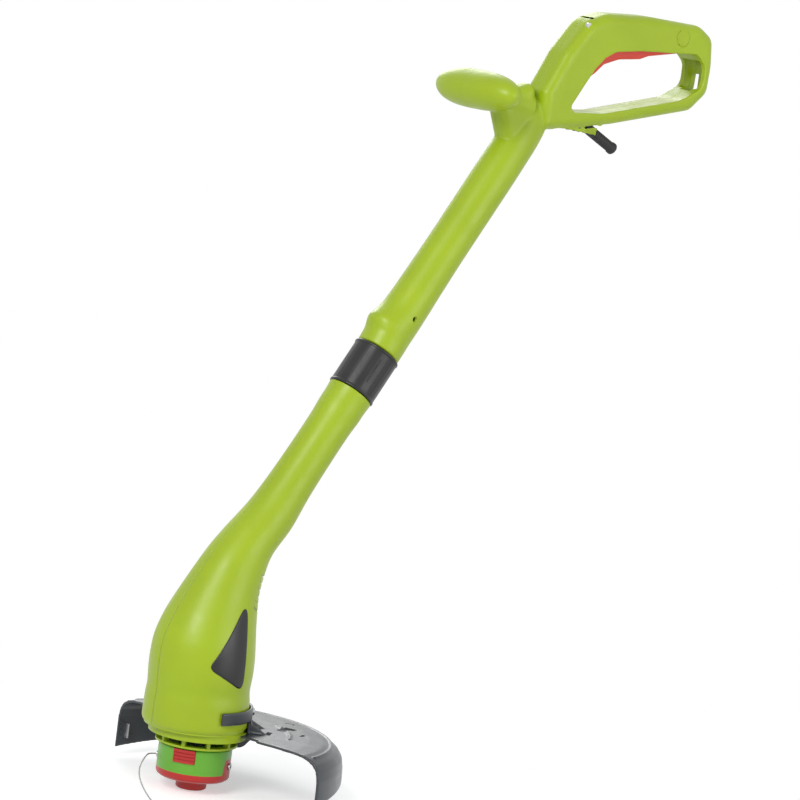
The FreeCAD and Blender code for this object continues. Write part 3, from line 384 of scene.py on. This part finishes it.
def applied(obj):
    """The object's mesh with its modifiers applied."""
    graph = bpy.context.evaluated_depsgraph_get()
    mesh = bpy.data.meshes.new_from_object(obj.evaluated_get(graph))
    old = obj.data
    obj.modifiers.clear()
    if obj.type == "MESH":
        obj.data = mesh
        return obj
    made = bpy.data.objects.new(obj.name + "_mesh", mesh)
    made.matrix_world = obj.matrix_world
    bpy.context.collection.objects.link(made)
    bpy.data.objects.remove(obj)
    return made


def merged(name, parts):
    """One object from several, which are removed."""
    mesh = bpy.data.meshes.new(name)
    work = bmesh.new()
    for item in parts:
        copy = item.data.copy()
        copy.transform(item.matrix_world)
        work.from_mesh(copy)
        bpy.data.meshes.remove(copy)
        bpy.data.objects.remove(item)
    bmesh.ops.recalc_face_normals(work, faces=work.faces)
    work.to_mesh(mesh)
    work.free()
    obj = bpy.data.objects.new(name, mesh)
    bpy.context.collection.objects.link(obj)
    return obj


def melt(obj, voxel, rounds):
    """Unites overlapping solids into one skin with soft fillets where they meet."""
    remesh = obj.modifiers.new("Unite", "REMESH")
    remesh.mode = "VOXEL"
    remesh.voxel_size = voxel * MM
    soften = obj.modifiers.new("Soften", "SMOOTH")
    soften.factor = 0.6
    soften.iterations = rounds
    return applied(obj)


def block(corners_low, corners_high):
    x0, y0, z0 = corners_low
    x1, y1, z1 = corners_high
    vertices = [(x, y, z) for x in (x0, x1) for y in (y0, y1) for z in (z0, z1)]
    faces = [(0, 1, 3, 2), (4, 6, 7, 5), (0, 4, 5, 1), (2, 3, 7, 6), (0, 2, 6, 4), (1, 5, 7, 3)]
    return vertices, faces


def rod(centre, way, radius, length, sides=32):
    """A closed rod from a centre point along a direction."""
    across = way.orthogonal().normalized()
    beside = way.cross(across).normalized()
    rings = []
    for end in (0.0, length):
        ring = []
        for step in range(sides):
            turn = 2 * math.pi * step / sides
            ring.append(centre + way * end + (across * math.cos(turn) + beside * math.sin(turn)) * radius)
        rings.append(ring)
    return ring_mesh(rings)


def ellipse_ring(centre, way, sideways, thickness, sides, power=2.0):
    """A ring of a superellipse in the plane across the way, thickness measured in the XZ plane."""
    ahead = way.cross(Vector((0, 1, 0))).normalized()
    ring = []
    for step in range(sides):
        turn = 2 * math.pi * step / sides
        c, s = math.cos(turn), math.sin(turn)
        reach = (abs(c) ** power + abs(s) ** power) ** (-1.0 / power)
        ring.append(centre + ahead * (c * reach * thickness) + Vector((0, 1, 0)) * (s * reach * sideways))
    return ring


def loft(name, rows, steps, sides=96, power=2.0):
    """A smooth closed solid through rows of (x, z, lean in degrees, half width, half thickness)."""
    rings = []
    last = len(rows) - 1
    for step in range(steps + 1):
        x, z, lean, wide, thick = smooth_between(rows, last * step / steps)
        turn = math.radians(lean)
        way = Vector((math.sin(turn), 0, math.cos(turn)))
        rings.append(ellipse_ring(Vector((x, 0, z)), way, wide, thick, sides, power))
    vertices, faces = ring_mesh(rings)
    return raw_object(name, vertices, faces)


def rounded_outline(corners, steps=6):
    """Corner points given as (x, z, radius) turned into a closed line with round corners."""
    count = len(corners)
    line = []
    for index in range(count):
        corner = Vector((corners[index][0], corners[index][1]))
        before = Vector(corners[index - 1][:2]) - corner
        after = Vector(corners[(index + 1) % count][:2]) - corner
        turn = (math.pi - before.angle(after)) / 2
        radius = min(corners[index][2], 0.48 * min(before.length, after.length) / max(math.tan(turn), 1e-6))
        back = radius * math.tan(turn)
        start, end = corner + before.normalized() * back, corner + after.normalized() * back
        for step in range(steps + 1):
            t = step / steps
            line.append(start * (1 - t) ** 2 + corner * 2 * t * (1 - t) + end * t ** 2)
    return line


def plate_curve(name, outlines, width, edge, middle=0.0, shrink=True):
    """A plate across Y with rounded edges and holes, from outlines in the XZ plane."""
    curve = bpy.data.curves.new(name, "CURVE")
    curve.dimensions = "2D"
    curve.fill_mode = "BOTH"
    curve.extrude = (width / 2 - edge) * MM
    curve.bevel_depth = edge * MM
    curve.bevel_resolution = 5
    curve.offset = -edge * MM if shrink else 0.0
    for outline in outlines:
        spline = curve.splines.new("POLY")
        spline.points.add(len(outline) - 1)
        for point, spot in zip(spline.points, outline):
            point.co = (spot[0] * MM, spot[1] * MM, 0, 1)
        spline.use_cyclic_u = True
    obj = bpy.data.objects.new(name, curve)
    bpy.context.collection.objects.link(obj)
    obj.matrix_world = Matrix.Translation((0, middle * MM, 0)) @ Matrix.Rotation(math.pi / 2, 4, "X")
    bpy.context.view_layer.update()
    return applied(obj)


def prism(name, corners, width, middle=0.0):
    """A closed prism across Y from an outline in the XZ plane."""
    line = rounded_outline(corners)
    count = len(line)
    vertices = [(x, middle - width / 2, z) for x, z in line] + [(x, middle + width / 2, z) for x, z in line]
    faces = [tuple(reversed(range(count))), tuple(range(count, 2 * count))]
    faces += [(s, (s + 1) % count, (s + 1) % count + count, s + count) for s in range(count)]
    obj = raw_object(name, vertices, faces)
    skin = bmesh.new()
    skin.from_mesh(obj.data)
    bmesh.ops.triangulate(skin, faces=skin.faces)
    bmesh.ops.recalc_face_normals(skin, faces=skin.faces)
    skin.to_mesh(obj.data)
    skin.free()
    return obj


def taken(obj, tool, operation="DIFFERENCE"):
    """A boolean of two closed skins; the tool is removed."""
    change = obj.modifiers.new("Cut", "BOOLEAN")
    change.operation = operation
    change.solver = "MANIFOLD"
    change.object = tool
    applied(obj)
    bpy.data.objects.remove(tool)
    return obj


def split(obj, left, right, gap=0.2):
    """The two sides of a skin, a seam's width apart."""
    halves = []
    for name, sign in ((left, -1), (right, 1)):
        copy = bpy.data.objects.new(name, obj.data.copy())
        bpy.context.collection.objects.link(copy)
        near, far = gap * sign, 400.0 * sign
        vertices, faces = block((-400, min(near, far), -100), (900, max(near, far), 1000))
        halves.append(taken(copy, raw_object("side", vertices, faces), "INTERSECT"))
    bpy.data.objects.remove(obj)
    return halves


# ------------------------------------------------------------------ handle
def handle_outlines():
    """The D-handle's outer line and its hand opening, in the XZ plane."""
    outer = [(10, 42, 6), (32, 82, 24), (57, 113, 22), (80, 121.2, 34), (134, 122.4, 200), (203, 118.0, 22),
             (221, 107, 14), (224.5, 80, 60), (223, 52, 16), (203, 34, 14), (103, 15, 60), (60, 9.5, 60),
             (24, 6, 10), (10, 4, 8)]
    inner = [(43, 29, 12), (49, 24.2, 5), (86, 25, 60), (187, 44, 40), (212.8, 58, 14), (212.5, 79, 12),
             (200, 90, 10), (125, 88.5, 60), (93, 85.5, 14), (80, 79, 10), (69, 68, 10), (58, 52, 20)]
    return [[(JUNCTION.x + x, JUNCTION.z + z, bend) for x, z, bend in line] for line in (outer, inner)]


def shaft_rows(rows):
    """Loft rows from (distance along the shaft, half width, half thickness, forward shift)."""
    out = []
    for distance, wide, thick, forward in rows:
        centre = along_shaft(distance, forward=forward)
        out.append((centre.x, centre.z, math.degrees(LEAN), wide, thick))
    return out


def spindle():
    """The transverse front grip: a full spindle across the trimmer."""
    centre = JUNCTION + Vector((-61.5, 0, 38.0))
    rings = []
    steps, half_length, radius = 48, 57.2, 19.5
    for step in range(steps + 1):
        turn = math.pi * step / steps
        share = math.cos(turn)
        fullness = max(1 - abs(share) ** 2.9, 0.0) ** 0.52
        width = max(radius * fullness, 0.3)
        rings.append([centre + Vector((width * 1.02 * math.cos(2 * math.pi * side / 64), -share * half_length,
                                       width * 0.96 * math.sin(2 * math.pi * side / 64))) for side in range(64)])
    return raw_object("spindle", *ring_mesh(rings))


def handle_shells():
    outer, inner = handle_outlines()
    frame_plate = plate_curve("plate", [rounded_outline(outer)], 34.6, 9.5)
    shaft = loft("shaft", shaft_rows((
        (24.1, 21.8, 21.9, 0.2), (30, 22.0, 22.1, 0.4), (38, 22.0, 22.6, 0.9), (43, 22.1, 23.8, 2.1),
        (49, 22.2, 24.8, 3.0), (56, 22.0, 23.6, 1.9), (66, 21.6, 22.0, 0.5), (80, 21.2, 21.3, 0),
        (105, 20.6, 20.7, 0), (150, 20.0, 20.2, 0), (215, 20.0, 20.4, 0), (255, 19.2, 20.6, 0),
        (285, 17.2, 20.4, 0), (305, 13.0, 18.0, 0), (316, 7.0, 12.0, 0))), 160)
    start = JUNCTION + Vector((-61.5, 0, 38.0))
    neck_way = JUNCTION + Vector((2.0, 0, 24.0)) - start
    neck = raw_object("neck", *rod(start, neck_way.normalized(), 14.6, neck_way.length))
    gusset = [(-40, 22, 8), (-22, 42, 14), (2, 50, 8), (10, 8, 8), (-14, -38, 30)]
    web = plate_curve("web", [rounded_outline([(JUNCTION.x + x, JUNCTION.z + z, b) for x, z, b in gusset])],
                      26.0, 10.0)
    boss = plate_curve("boss", [rounded_outline([(JUNCTION.x + x, JUNCTION.z + z, b) for x, z, b in (
        (18, 12, 4), (96, 17, 3), (91, 12, 3), (89.5, -1, 5), (77, -9.5, 6), (30, 3, 8))])], 24.0, 5.0)
    hook = plate_curve("hook", [rounded_outline([(JUNCTION.x + x, JUNCTION.z + z, b) for x, z, b in (
        (159, 49.8, 1.5), (163, 46.6, 1.5), (171, 45.6, 1), (173, 41.5, 2), (178, 34, 2), (204, 40, 2),
        (196, 53.5, 4), (172, 52.4, 3))])], 12.0, 1.6)
    whole = merged("handle_raw", [frame_plate, shaft, neck, web, boss, hook, spindle()])
    whole = melt(whole, 1.0, 7)
    whole = melt(taken(whole, prism("hand_gap", inner, 60.0)), 0.8, 2)
    window = at_junction(202, 53.5)
    whole = taken(whole, raw_object("window", *block((window.x, -7.2, window.z),
                                                     (window.x + 40, 7.2, window.z + 17))))
    panel = prism("panel", [(JUNCTION.x + x, JUNCTION.z + z, b) for x, z, b in (
        (206, 55, 2), (214.2, 56, 2), (214.2, 84, 2), (206, 84, 2))], 24.0)
    whole = taken(whole, panel)
    whole = taken(whole, trigger_slot())
    spot = along_shaft(66.0, -40)
    whole = taken(whole, raw_object("hole", *rod(spot, Vector((0, 1, 0)), 2.9, 23.0)))
    ring_spot = at_junction(178, 105, -20.0)
    for radius in (9.2, 7.6):
        tool = rod(ring_spot, Vector((0, 1, 0)), radius, 3.1 if radius > 8 else 2.7)
        if radius > 8:
            groove = taken(raw_object("groove", *tool),
                           raw_object("core", *rod(ring_spot - Vector((0, 1, 0)), Vector((0, 1, 0)), 7.8, 9.0)))
            whole = taken(whole, groove)
    hollow = loft("hollow", shaft_rows(((23.0, 18.9, 18.9, 0), (40, 18.9, 18.9, 0), (60, 17.4, 17.4, 0),
                                        (160, 17.0, 17.0, 0), (240, 16.4, 16.6, 0), (262, 15.0, 16.0, 0))), 60)
    whole = taken(whole, hollow)
    left, right = split(whole, "handle_skin_left", "handle_skin_right")
    finish_piece(left, "green_shell", "handle_unit", ("handle_shell_left",))
    finish_piece(right, "green_shell", "handle_unit", ("handle_shell_right", "front_grip"))
    return left, right


def trigger_slot():
    """The space that the trigger, switch and their parts need inside the grip."""
    corners = [(61, 54, 2), (80, 54, 2), (88, 62, 2), (189, 76, 2), (190, 113, 2), (62, 116, 2)]
    return prism("slot", [(JUNCTION.x + x, JUNCTION.z + z, b) for x, z, b in corners], 19.0)


def trigger():
    """The red trigger bar, crowned on its finger side."""
    corners = [(62.2, 61, 4), (66, 58.4, 3), (71, 58.8, 4), (77, 63, 8), (87, 72, 12), (106, 78, 20),
               (133, 80, 10), (144, 83.7, 8), (185, 89.3, 3), (188, 97, 4), (182, 102, 4), (150, 97, 6),
               (96, 94.5, 6), (70, 90.5, 4)]
    line = [(JUNCTION.x + x, JUNCTION.z + z, b) for x, z, b in corners]
    obj = plate_curve("trigger_bar", [rounded_outline(line)], 17.8, 2.6)
    finish_piece(obj, "trigger_red", "trigger", ("trigger",))


def cord_sleeve():
    """The ribbed rubber sleeve with a fuller ring at its tip."""
    start = JUNCTION + Vector((84.0, 0, 8.0))
    way = Vector((math.cos(math.radians(27)), 0, -math.sin(math.radians(27))))
    profile = [(-6.0, 5.2), (6.0, 5.3)]
    ribs, first, pitch = 9, 8.0, 2.9
    for step in range(ribs):
        at = first + pitch * step
        profile += [(at, 5.3), (at + 0.5, 4.7), (at + 1.2, 4.7), (at + 1.7, 5.3)]
    profile += [(35.4, 5.2), (36.2, 6.0), (39.0, 6.0), (39.8, 5.4), (39.9, 3.6), (30.0, 3.6)]
    across = way.orthogonal().normalized()
    beside = way.cross(across).normalized()
    rings = []
    for at, radius in profile:
        rings.append([start + way * at + (across * math.cos(2 * math.pi * side / 48)
                                          + beside * math.sin(2 * math.pi * side / 48)) * radius
                      for side in range(48)])
    vertices, faces = ring_mesh(rings, closed_ends=False)
    piece("ribbed_sleeve", vertices, faces, "sleeve_rubber", "handle_unit", ("cord_sleeve",))


# ------------------------------------------------------------------ motor head
def motor_rows(inset=0.0):
    rows = [
        (BACK, 60.3, 0.0, 45.6, 45.6), (BACK, 62.4, 0.0, 48.0, 48.2), (BACK, 66.4, 0.0, 49.4, 49.5),
        (BACK, 78, 0.0, 49.2, 49.4), (BACK, 88, 0.0, 48.6, 49.0), (BACK - 0.2, 98, 0.0, 47.4, 48.2),
        (BACK, 112, 0.0, 48.0, 49.2), (BACK + 0.2, 126, 0.0, 47.4, 49.6), (BACK + 0.9, 142, 3.0, 45.4, 48.5),
        (BACK + 4.6, 160, 9.0, 41.8, 44.4), (BACK + 10.6, 178, 16.0, 37.0, 39.2),
        (BACK + 17.4, 197, 22.0, 32.4, 33.8), (BACK + 26.2, 216, 27.0, 28.8, 29.8),
        (BACK + 38.0, 235, 31.0, 25.6, 25.8)]
    out = [(x, z, lean, wide - inset, thick - inset) for x, z, lean, wide, thick in rows]
    for distance, wide, thick in ((-163, 23.4, 24.0), (-130, 21.4, 21.8), (-96, 20.7, 21.0),
                                  (-62, 20.6, 21.0), (-45, 21.2, 22.0), (-34, 21.5, 22.0),
                                  (-24.1, 22.2, 22.5)):
        centre = along_shaft(distance)
        out.append((centre.x, centre.z, 33.6, wide - inset, thick - inset))
    return out


def motor_shells():
    body = loft("motor_raw", motor_rows(), 260, sides=160)
    body = taken(body, loft("motor_hollow", motor_rows(2.4), 120, sides=96))
    rim = Vector((BACK, 0, 55.0))
    body = taken(body, raw_object("mouth", *rod(rim, Vector((0, 0, 1)), 43.4, 9.0, 96)))
    mouth = along_shaft(-36.0)
    body = taken(body, raw_object("neck_bore", *rod(mouth, SHAFT_WAY, 17.6, 30.0, 64)))
    for tool in louvres():
        body = taken(body, tool)
    left, right = split(body, "motor_skin_left", "motor_skin_right")
    finish_piece(left, "green_shell", "motor_unit", ("motor_shell_left",))
    finish_piece(right, "green_shell", "motor_unit", ("motor_shell_right",))


def louvres():
    """Six short cooling slots stepped up each rear flank."""
    tools = []
    for step in range(6):
        for sign in (-1, 1):
            vertices, faces = block((-5, -9, -1.3), (16, 9, 1.3))
            turn = Matrix.Rotation(math.radians(-sign * 40), 3, "Z") @ Matrix.Rotation(math.radians(18), 3, "Y")
            spot = Vector((28.6 + 1.9 * step, sign * (30.6 - 1.2 * step), 176 + 6.0 * step))
            tools.append(raw_object("louvre", [turn @ Vector(v) + spot for v in vertices], faces))
    return tools


def badges():
    """Bare black plates with rounded corners, laid on the housing's flanks."""
    line = resampled(rounded_outline([(13.5, 188, 6), (-29, 124, 7), (10, 102, 6)], 8), 110)
    middle = (sum(x for x, z in line) / len(line), sum(z for x, z in line) / len(line))
    skin = raw_skin()
    for label, sign in (("badge_left", -1), ("badge_right", 1)):
        rounds = []
        for share, proud in ((1.0, -0.8), (1.0, 0.35), (0.985, 0.75), (0.95, 0.9)) + tuple(
                (0.95 * (1 - step / 16), 0.9) for step in range(1, 16)) + ((0.01, 0.9),):
            rounds.append([on_skin(skin, middle[0] + (x - middle[0]) * share,
                                   middle[1] + (z - middle[1]) * share, sign, proud) for x, z in line])
        under = [on_skin(skin, middle[0] + (x - middle[0]) * share, middle[1] + (z - middle[1]) * share,
                         sign, -0.8) for share in (0.5,) for x, z in line]
        vertices, faces = ring_mesh([under] + rounds)
        piece(label + "_plate", vertices, faces, "black_plastic", "motor_unit", (label,))


def resampled(line, count):
    """A closed line's points spread evenly along it."""
    lengths = [(line[index] - line[index - 1]).length for index in range(len(line))]
    total, out = sum(lengths), []
    for step in range(count):
        left, index = total * step / count, 0
        while left > lengths[index]:
            left -= lengths[index]
            index += 1
        share = left / lengths[index]
        out.append(line[index - 1].lerp(line[index], share))
    return out


def raw_skin():
    """The housing's outer skin as a search tree."""
    body = loft("skin_probe", motor_rows(), 200, sides=200)
    tree = BVHTree.FromPolygons([vertex.co.copy() for vertex in body.data.vertices],
                                [tuple(polygon.vertices) for polygon in body.data.polygons])
    bpy.data.objects.remove(body)
    return tree


def on_skin(tree, x, z, sign, proud):
    """The point of the skin beside (x, z), lifted along its normal."""
    start = Vector((x * MM, sign * 0.2, z * MM))
    spot, normal, index, reach = tree.ray_cast(start, Vector((0, -sign, 0)))
    if normal.y * sign < 0:
        normal = -normal
    return (spot + normal * proud * MM) / MM


# ------------------------------------------------------------------ guard
def lathe(name, profile, first, last, steps, centre=(0.0, 0.0)):
    """A closed solid swept about a vertical axis from a closed profile of (radius, height)."""
    rings = []
    for step in range(steps + 1):
        angle = first + (last - first) * step / steps
        shift = Vector((centre[0], centre[1], 0))
        rings.append([around(angle, radius, height) + shift for radius, height in profile])
    return raw_object(name, *ring_mesh(rings))


def guard():
    """The grey guard: a crowned roof, a rounded shoulder and a skirt that rises to the rear."""
    first, last, steps = -90.0, 72.0, 130
    aside = Vector((0, -8.0, 0))
    profile_top = [(60, 59.8), (80, 59.8), (100, 59.4), (113, 58.2), (121, 56.0), (127.5, 52.2),
                   (131.5, 46.5), (133.2, 38)]
    rings = []
    for step in range(steps + 1):
        angle = first + (last - first) * step / steps
        drop = guard_lip(angle)
        lower = [(133.6, (38 + drop) / 2 + 1), (133.8, drop + 1), (133.0, drop), (131.4, drop + 0.4)]
        inside = [(131.0, (38 + drop) / 2), (130.6, 37), (128.8, 45.6), (125.2, 50.0), (119.4, 53.4),
                  (112, 55.6), (99.6, 56.8), (80, 57.2), (60, 57.3)]
        rings.append([around(angle, radius, height) + aside for radius, height in profile_top + lower + inside])
    shell = raw_object("guard_shell", *ring_mesh(rings))
    inner = 50.2
    arms = lathe("arms", [(inner, 71.5), (inner + 2.9, 71.5), (inner + 2.9, 83.6), (inner, 83.6)], -99, 99, 90,
                 (BACK, 0.0))
    sleeve = lathe("sleeve", [(inner, 58), (inner + 2.9, 58), (inner + 2.9, 76), (inner, 76)], -80, 48, 80,
                   (BACK, 0.0))
    annulus = lathe("annulus", [(47.0, 57.4), (76, 57.4), (76, 59.8), (47.0, 59.8)], -88, 70, 90)
    parts = [shell, annulus, arms, sleeve]
    for angle in (-60, -20, 20, 44):
        way = around(angle, 1.0, 0)
        beside = way.cross(Vector((0, 0, 1)))
        base = Vector((BACK, 0, 0))
        corners = [base + way * (inner + 1) + Vector((0, 0, 58)), base + way * (inner + 19) + Vector((0, 0, 58)),
                   base + way * (inner + 19) + Vector((0, 0, 60)), base + way * (inner + 2) + Vector((0, 0, 70))]
        vertices = [c + beside * 1.2 for c in corners] + [c - beside * 1.2 for c in corners]
        faces = [(0, 1, 2, 3), (7, 6, 5, 4), (0, 4, 5, 1), (1, 5, 6, 2), (2, 6, 7, 3), (3, 7, 4, 0)]
        parts.append(raw_object("rib", vertices, faces))
    parts.append(lathe("rim_band", [(118, 55.4), (119.5, 58.0), (122, 57.2), (120.5, 54.6)], -86, 68, 90,
                       (0.0, -8.0)))
    parts.append(lathe("raised_track", [(80, 58), (80, 61.0), (82, 61.0), (82, 58)], 6, 46, 40, (0.0, -8.0)))
    whole = merged("guard_raw", parts)
    whole = melt(whole, 1.0, 3)
    for tool in guard_cuts():
        whole = taken(whole, tool)
    finish_piece(whole, "guard_grey", "motor_unit", ("guard",))
    tongue()


def guard_lip(angle):
    """Height of the skirt's lower edge: it rises from the sides to the rear."""
    reach = 132.0 * math.cos(math.radians(angle))
    return 7.4 + 0.155 * max(reach, -6.0)


def guard_cuts():
    """A diamond slot, a shallow pocket and a small angled mark."""
    tools = []
    marks = (((66, 40), 13, 5, 40, 8), ((86, 22), 20, 12, 25, 1.4), ((103, 8), 8, 1.6, 60, 1.2),
             ((100, 5), 1.6, 7, 60, 1.2), ((98, 34), 9, 3, 30, 1.4))
    for (radius, angle), long, wide, twist, depth in marks:
        spot = around(angle, radius, 61.4 if depth > 4 else 60.0)
        vertices, faces = block((-long / 2, -wide / 2, -depth), (long / 2, wide / 2, 4))
        turn = Matrix.Rotation(math.radians(twist), 3, "Z")
        tools.append(raw_object("mark", [turn @ Vector(v) + spot for v in vertices], faces))
    return tools


def tongue():
    """A rounded tab that hangs from the guard behind the spool."""
    way, out = Vector((0.766, -0.643, 0.0)), Vector((0.643, 0.766, 0.0))
    line = rounded_outline([(-20, 57.3, 1), (48, 57.3, 1), (51, 44, 10), (42, 33, 10), (20, 30.5, 20),
                            (-20, 30.5, 8)], 8)
    centre = out * 46.9
    front = [centre + way * x + Vector((0, 0, z)) for x, z in line]
    vertices = front + [spot + out * 2.4 for spot in front]
    count = len(line)
    faces = [tuple(range(count)), tuple(reversed(range(count, 2 * count)))]
    faces += [(s, s + count, (s + 1) % count + count, (s + 1) % count) for s in range(count)]
    obj = raw_object("hanging_tab", vertices, faces)
    edge = obj.modifiers.new("Edge", "BEVEL")
    edge.width = 0.0007
    edge.segments = 3
    finish_piece(applied(obj), "guard_grey", "motor_unit", ("guard_tongue",))


# ------------------------------------------------------------------ collar and line
def collar():
    """The twist collar: two thin flanges, shallow flutes and narrow slits."""
    length, radius = 47.0, 23.3
    profile = [(0.0, 21.0), (0.2, 22.9), (0.9, radius + 0.1), (2.2, radius + 0.1), (2.8, radius - 0.5)]
    profile += [(3.4 + 40.2 * step / 12, radius - 0.5) for step in range(13)]
    profile += [(44.2, radius - 0.5), (44.8, radius + 0.1), (46.1, radius + 0.1), (46.8, 22.9), (47.0, 21.0)]
    sides, flutes = 240, 20
    rings = []
    for at, width in profile:
        ring = []
        for side in range(sides):
            turn = 2 * math.pi * side / sides
            deep = 0.0
            if 5.0 < at < 42.0:
                deep = 0.12 * max(0.0, math.cos(turn * flutes)) ** 3
            spot = AHEAD * math.cos(turn) + Vector((0, 1, 0)) * math.sin(turn)
            ring.append(along_shaft(at - length / 2) + spot * (width - deep))
        rings.append(ring)
    rings.append([along_shaft(length / 2) + (AHEAD * math.cos(2 * math.pi * s / sides)
                  + Vector((0, 1, 0)) * math.sin(2 * math.pi * s / sides)) * 20.55 for s in range(sides)])
    rings.append([along_shaft(-length / 2) + (AHEAD * math.cos(2 * math.pi * s / sides)
                  + Vector((0, 1, 0)) * math.sin(2 * math.pi * s / sides)) * 20.55 for s in range(sides)])
    rings.append(rings[0])
    vertices, faces = ring_mesh(rings, closed_ends=False)
    obj = raw_object("collar_sleeve", vertices, faces)
    weld = obj.modifiers.new("Weld", "WELD")
    weld.merge_threshold = 1e-6
    obj = applied(obj)
    for angle in range(0, 360, 90):
        turn = math.radians(angle + 20)
        out = AHEAD * math.cos(turn) + Vector((0, 1, 0)) * math.sin(turn)
        beside = SHAFT_WAY.cross(out)
        start = along_shaft(-12.0) + out * 21.8
        corners = []
        for along in (0, 26):
            for side in (-0.45, 0.45):
                for up in (0, 3):
                    corners.append(start + SHAFT_WAY * along + beside * side + out * up)
        faces = [(0, 1, 3, 2), (4, 6, 7, 5), (0, 4, 5, 1), (2, 3, 7, 6), (0, 2, 6, 4), (1, 5, 7, 3)]
        slit = raw_object("slit", corners, faces)
        obj = taken(obj, slit)
    finish_piece(obj, "black_plastic", "collar", ("collar",))


def cutting_line():
    """The line's free end: a stiff nylon strand that curls out of its eyelet and down."""
    points = ((-19.7, 27.1, 26.0), (-27.0, 33.4, 26.0), (-37.4, 25.5, 25.2), (-49.2, 15.2, 21.4),
              (-56.1, 7.9, 18.7), (-64.6, -4.6, 14.6), (-72.0, -20.5, 10.4), (-77.2, -35.1, 7.0),
              (-82.5, -50.9, 4.4), (-84.6, -63.5, 3.6))
    curve = bpy.data.curves.new("cutting_strand", "CURVE")
    curve.dimensions = "3D"
    spline = curve.splines.new("NURBS")
    spline.points.add(len(points) - 1)
    for point, spot in zip(spline.points, points):
        point.co = (spot[0] * MM, spot[1] * MM, spot[2] * MM, 1)
    spline.order_u = 3
    spline.use_endpoint_u = True
    spline.resolution_u = 16
    curve.bevel_depth = 0.7 * MM
    curve.bevel_resolution = 4
    curve.use_fill_caps = True
    curve.materials.append(MATERIALS["nylon_line"])
    obj = bpy.data.objects.new("cutting_strand", curve)
    bpy.context.collection.objects.link(obj)
    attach(obj, "rotor")
    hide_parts("cutting_line")


camera()
world()
floor()
lights()
dress_frame()
cutting_line()
handle_shells()
trigger()
cord_sleeve()
motor_shells()
badges()
guard()
collar()
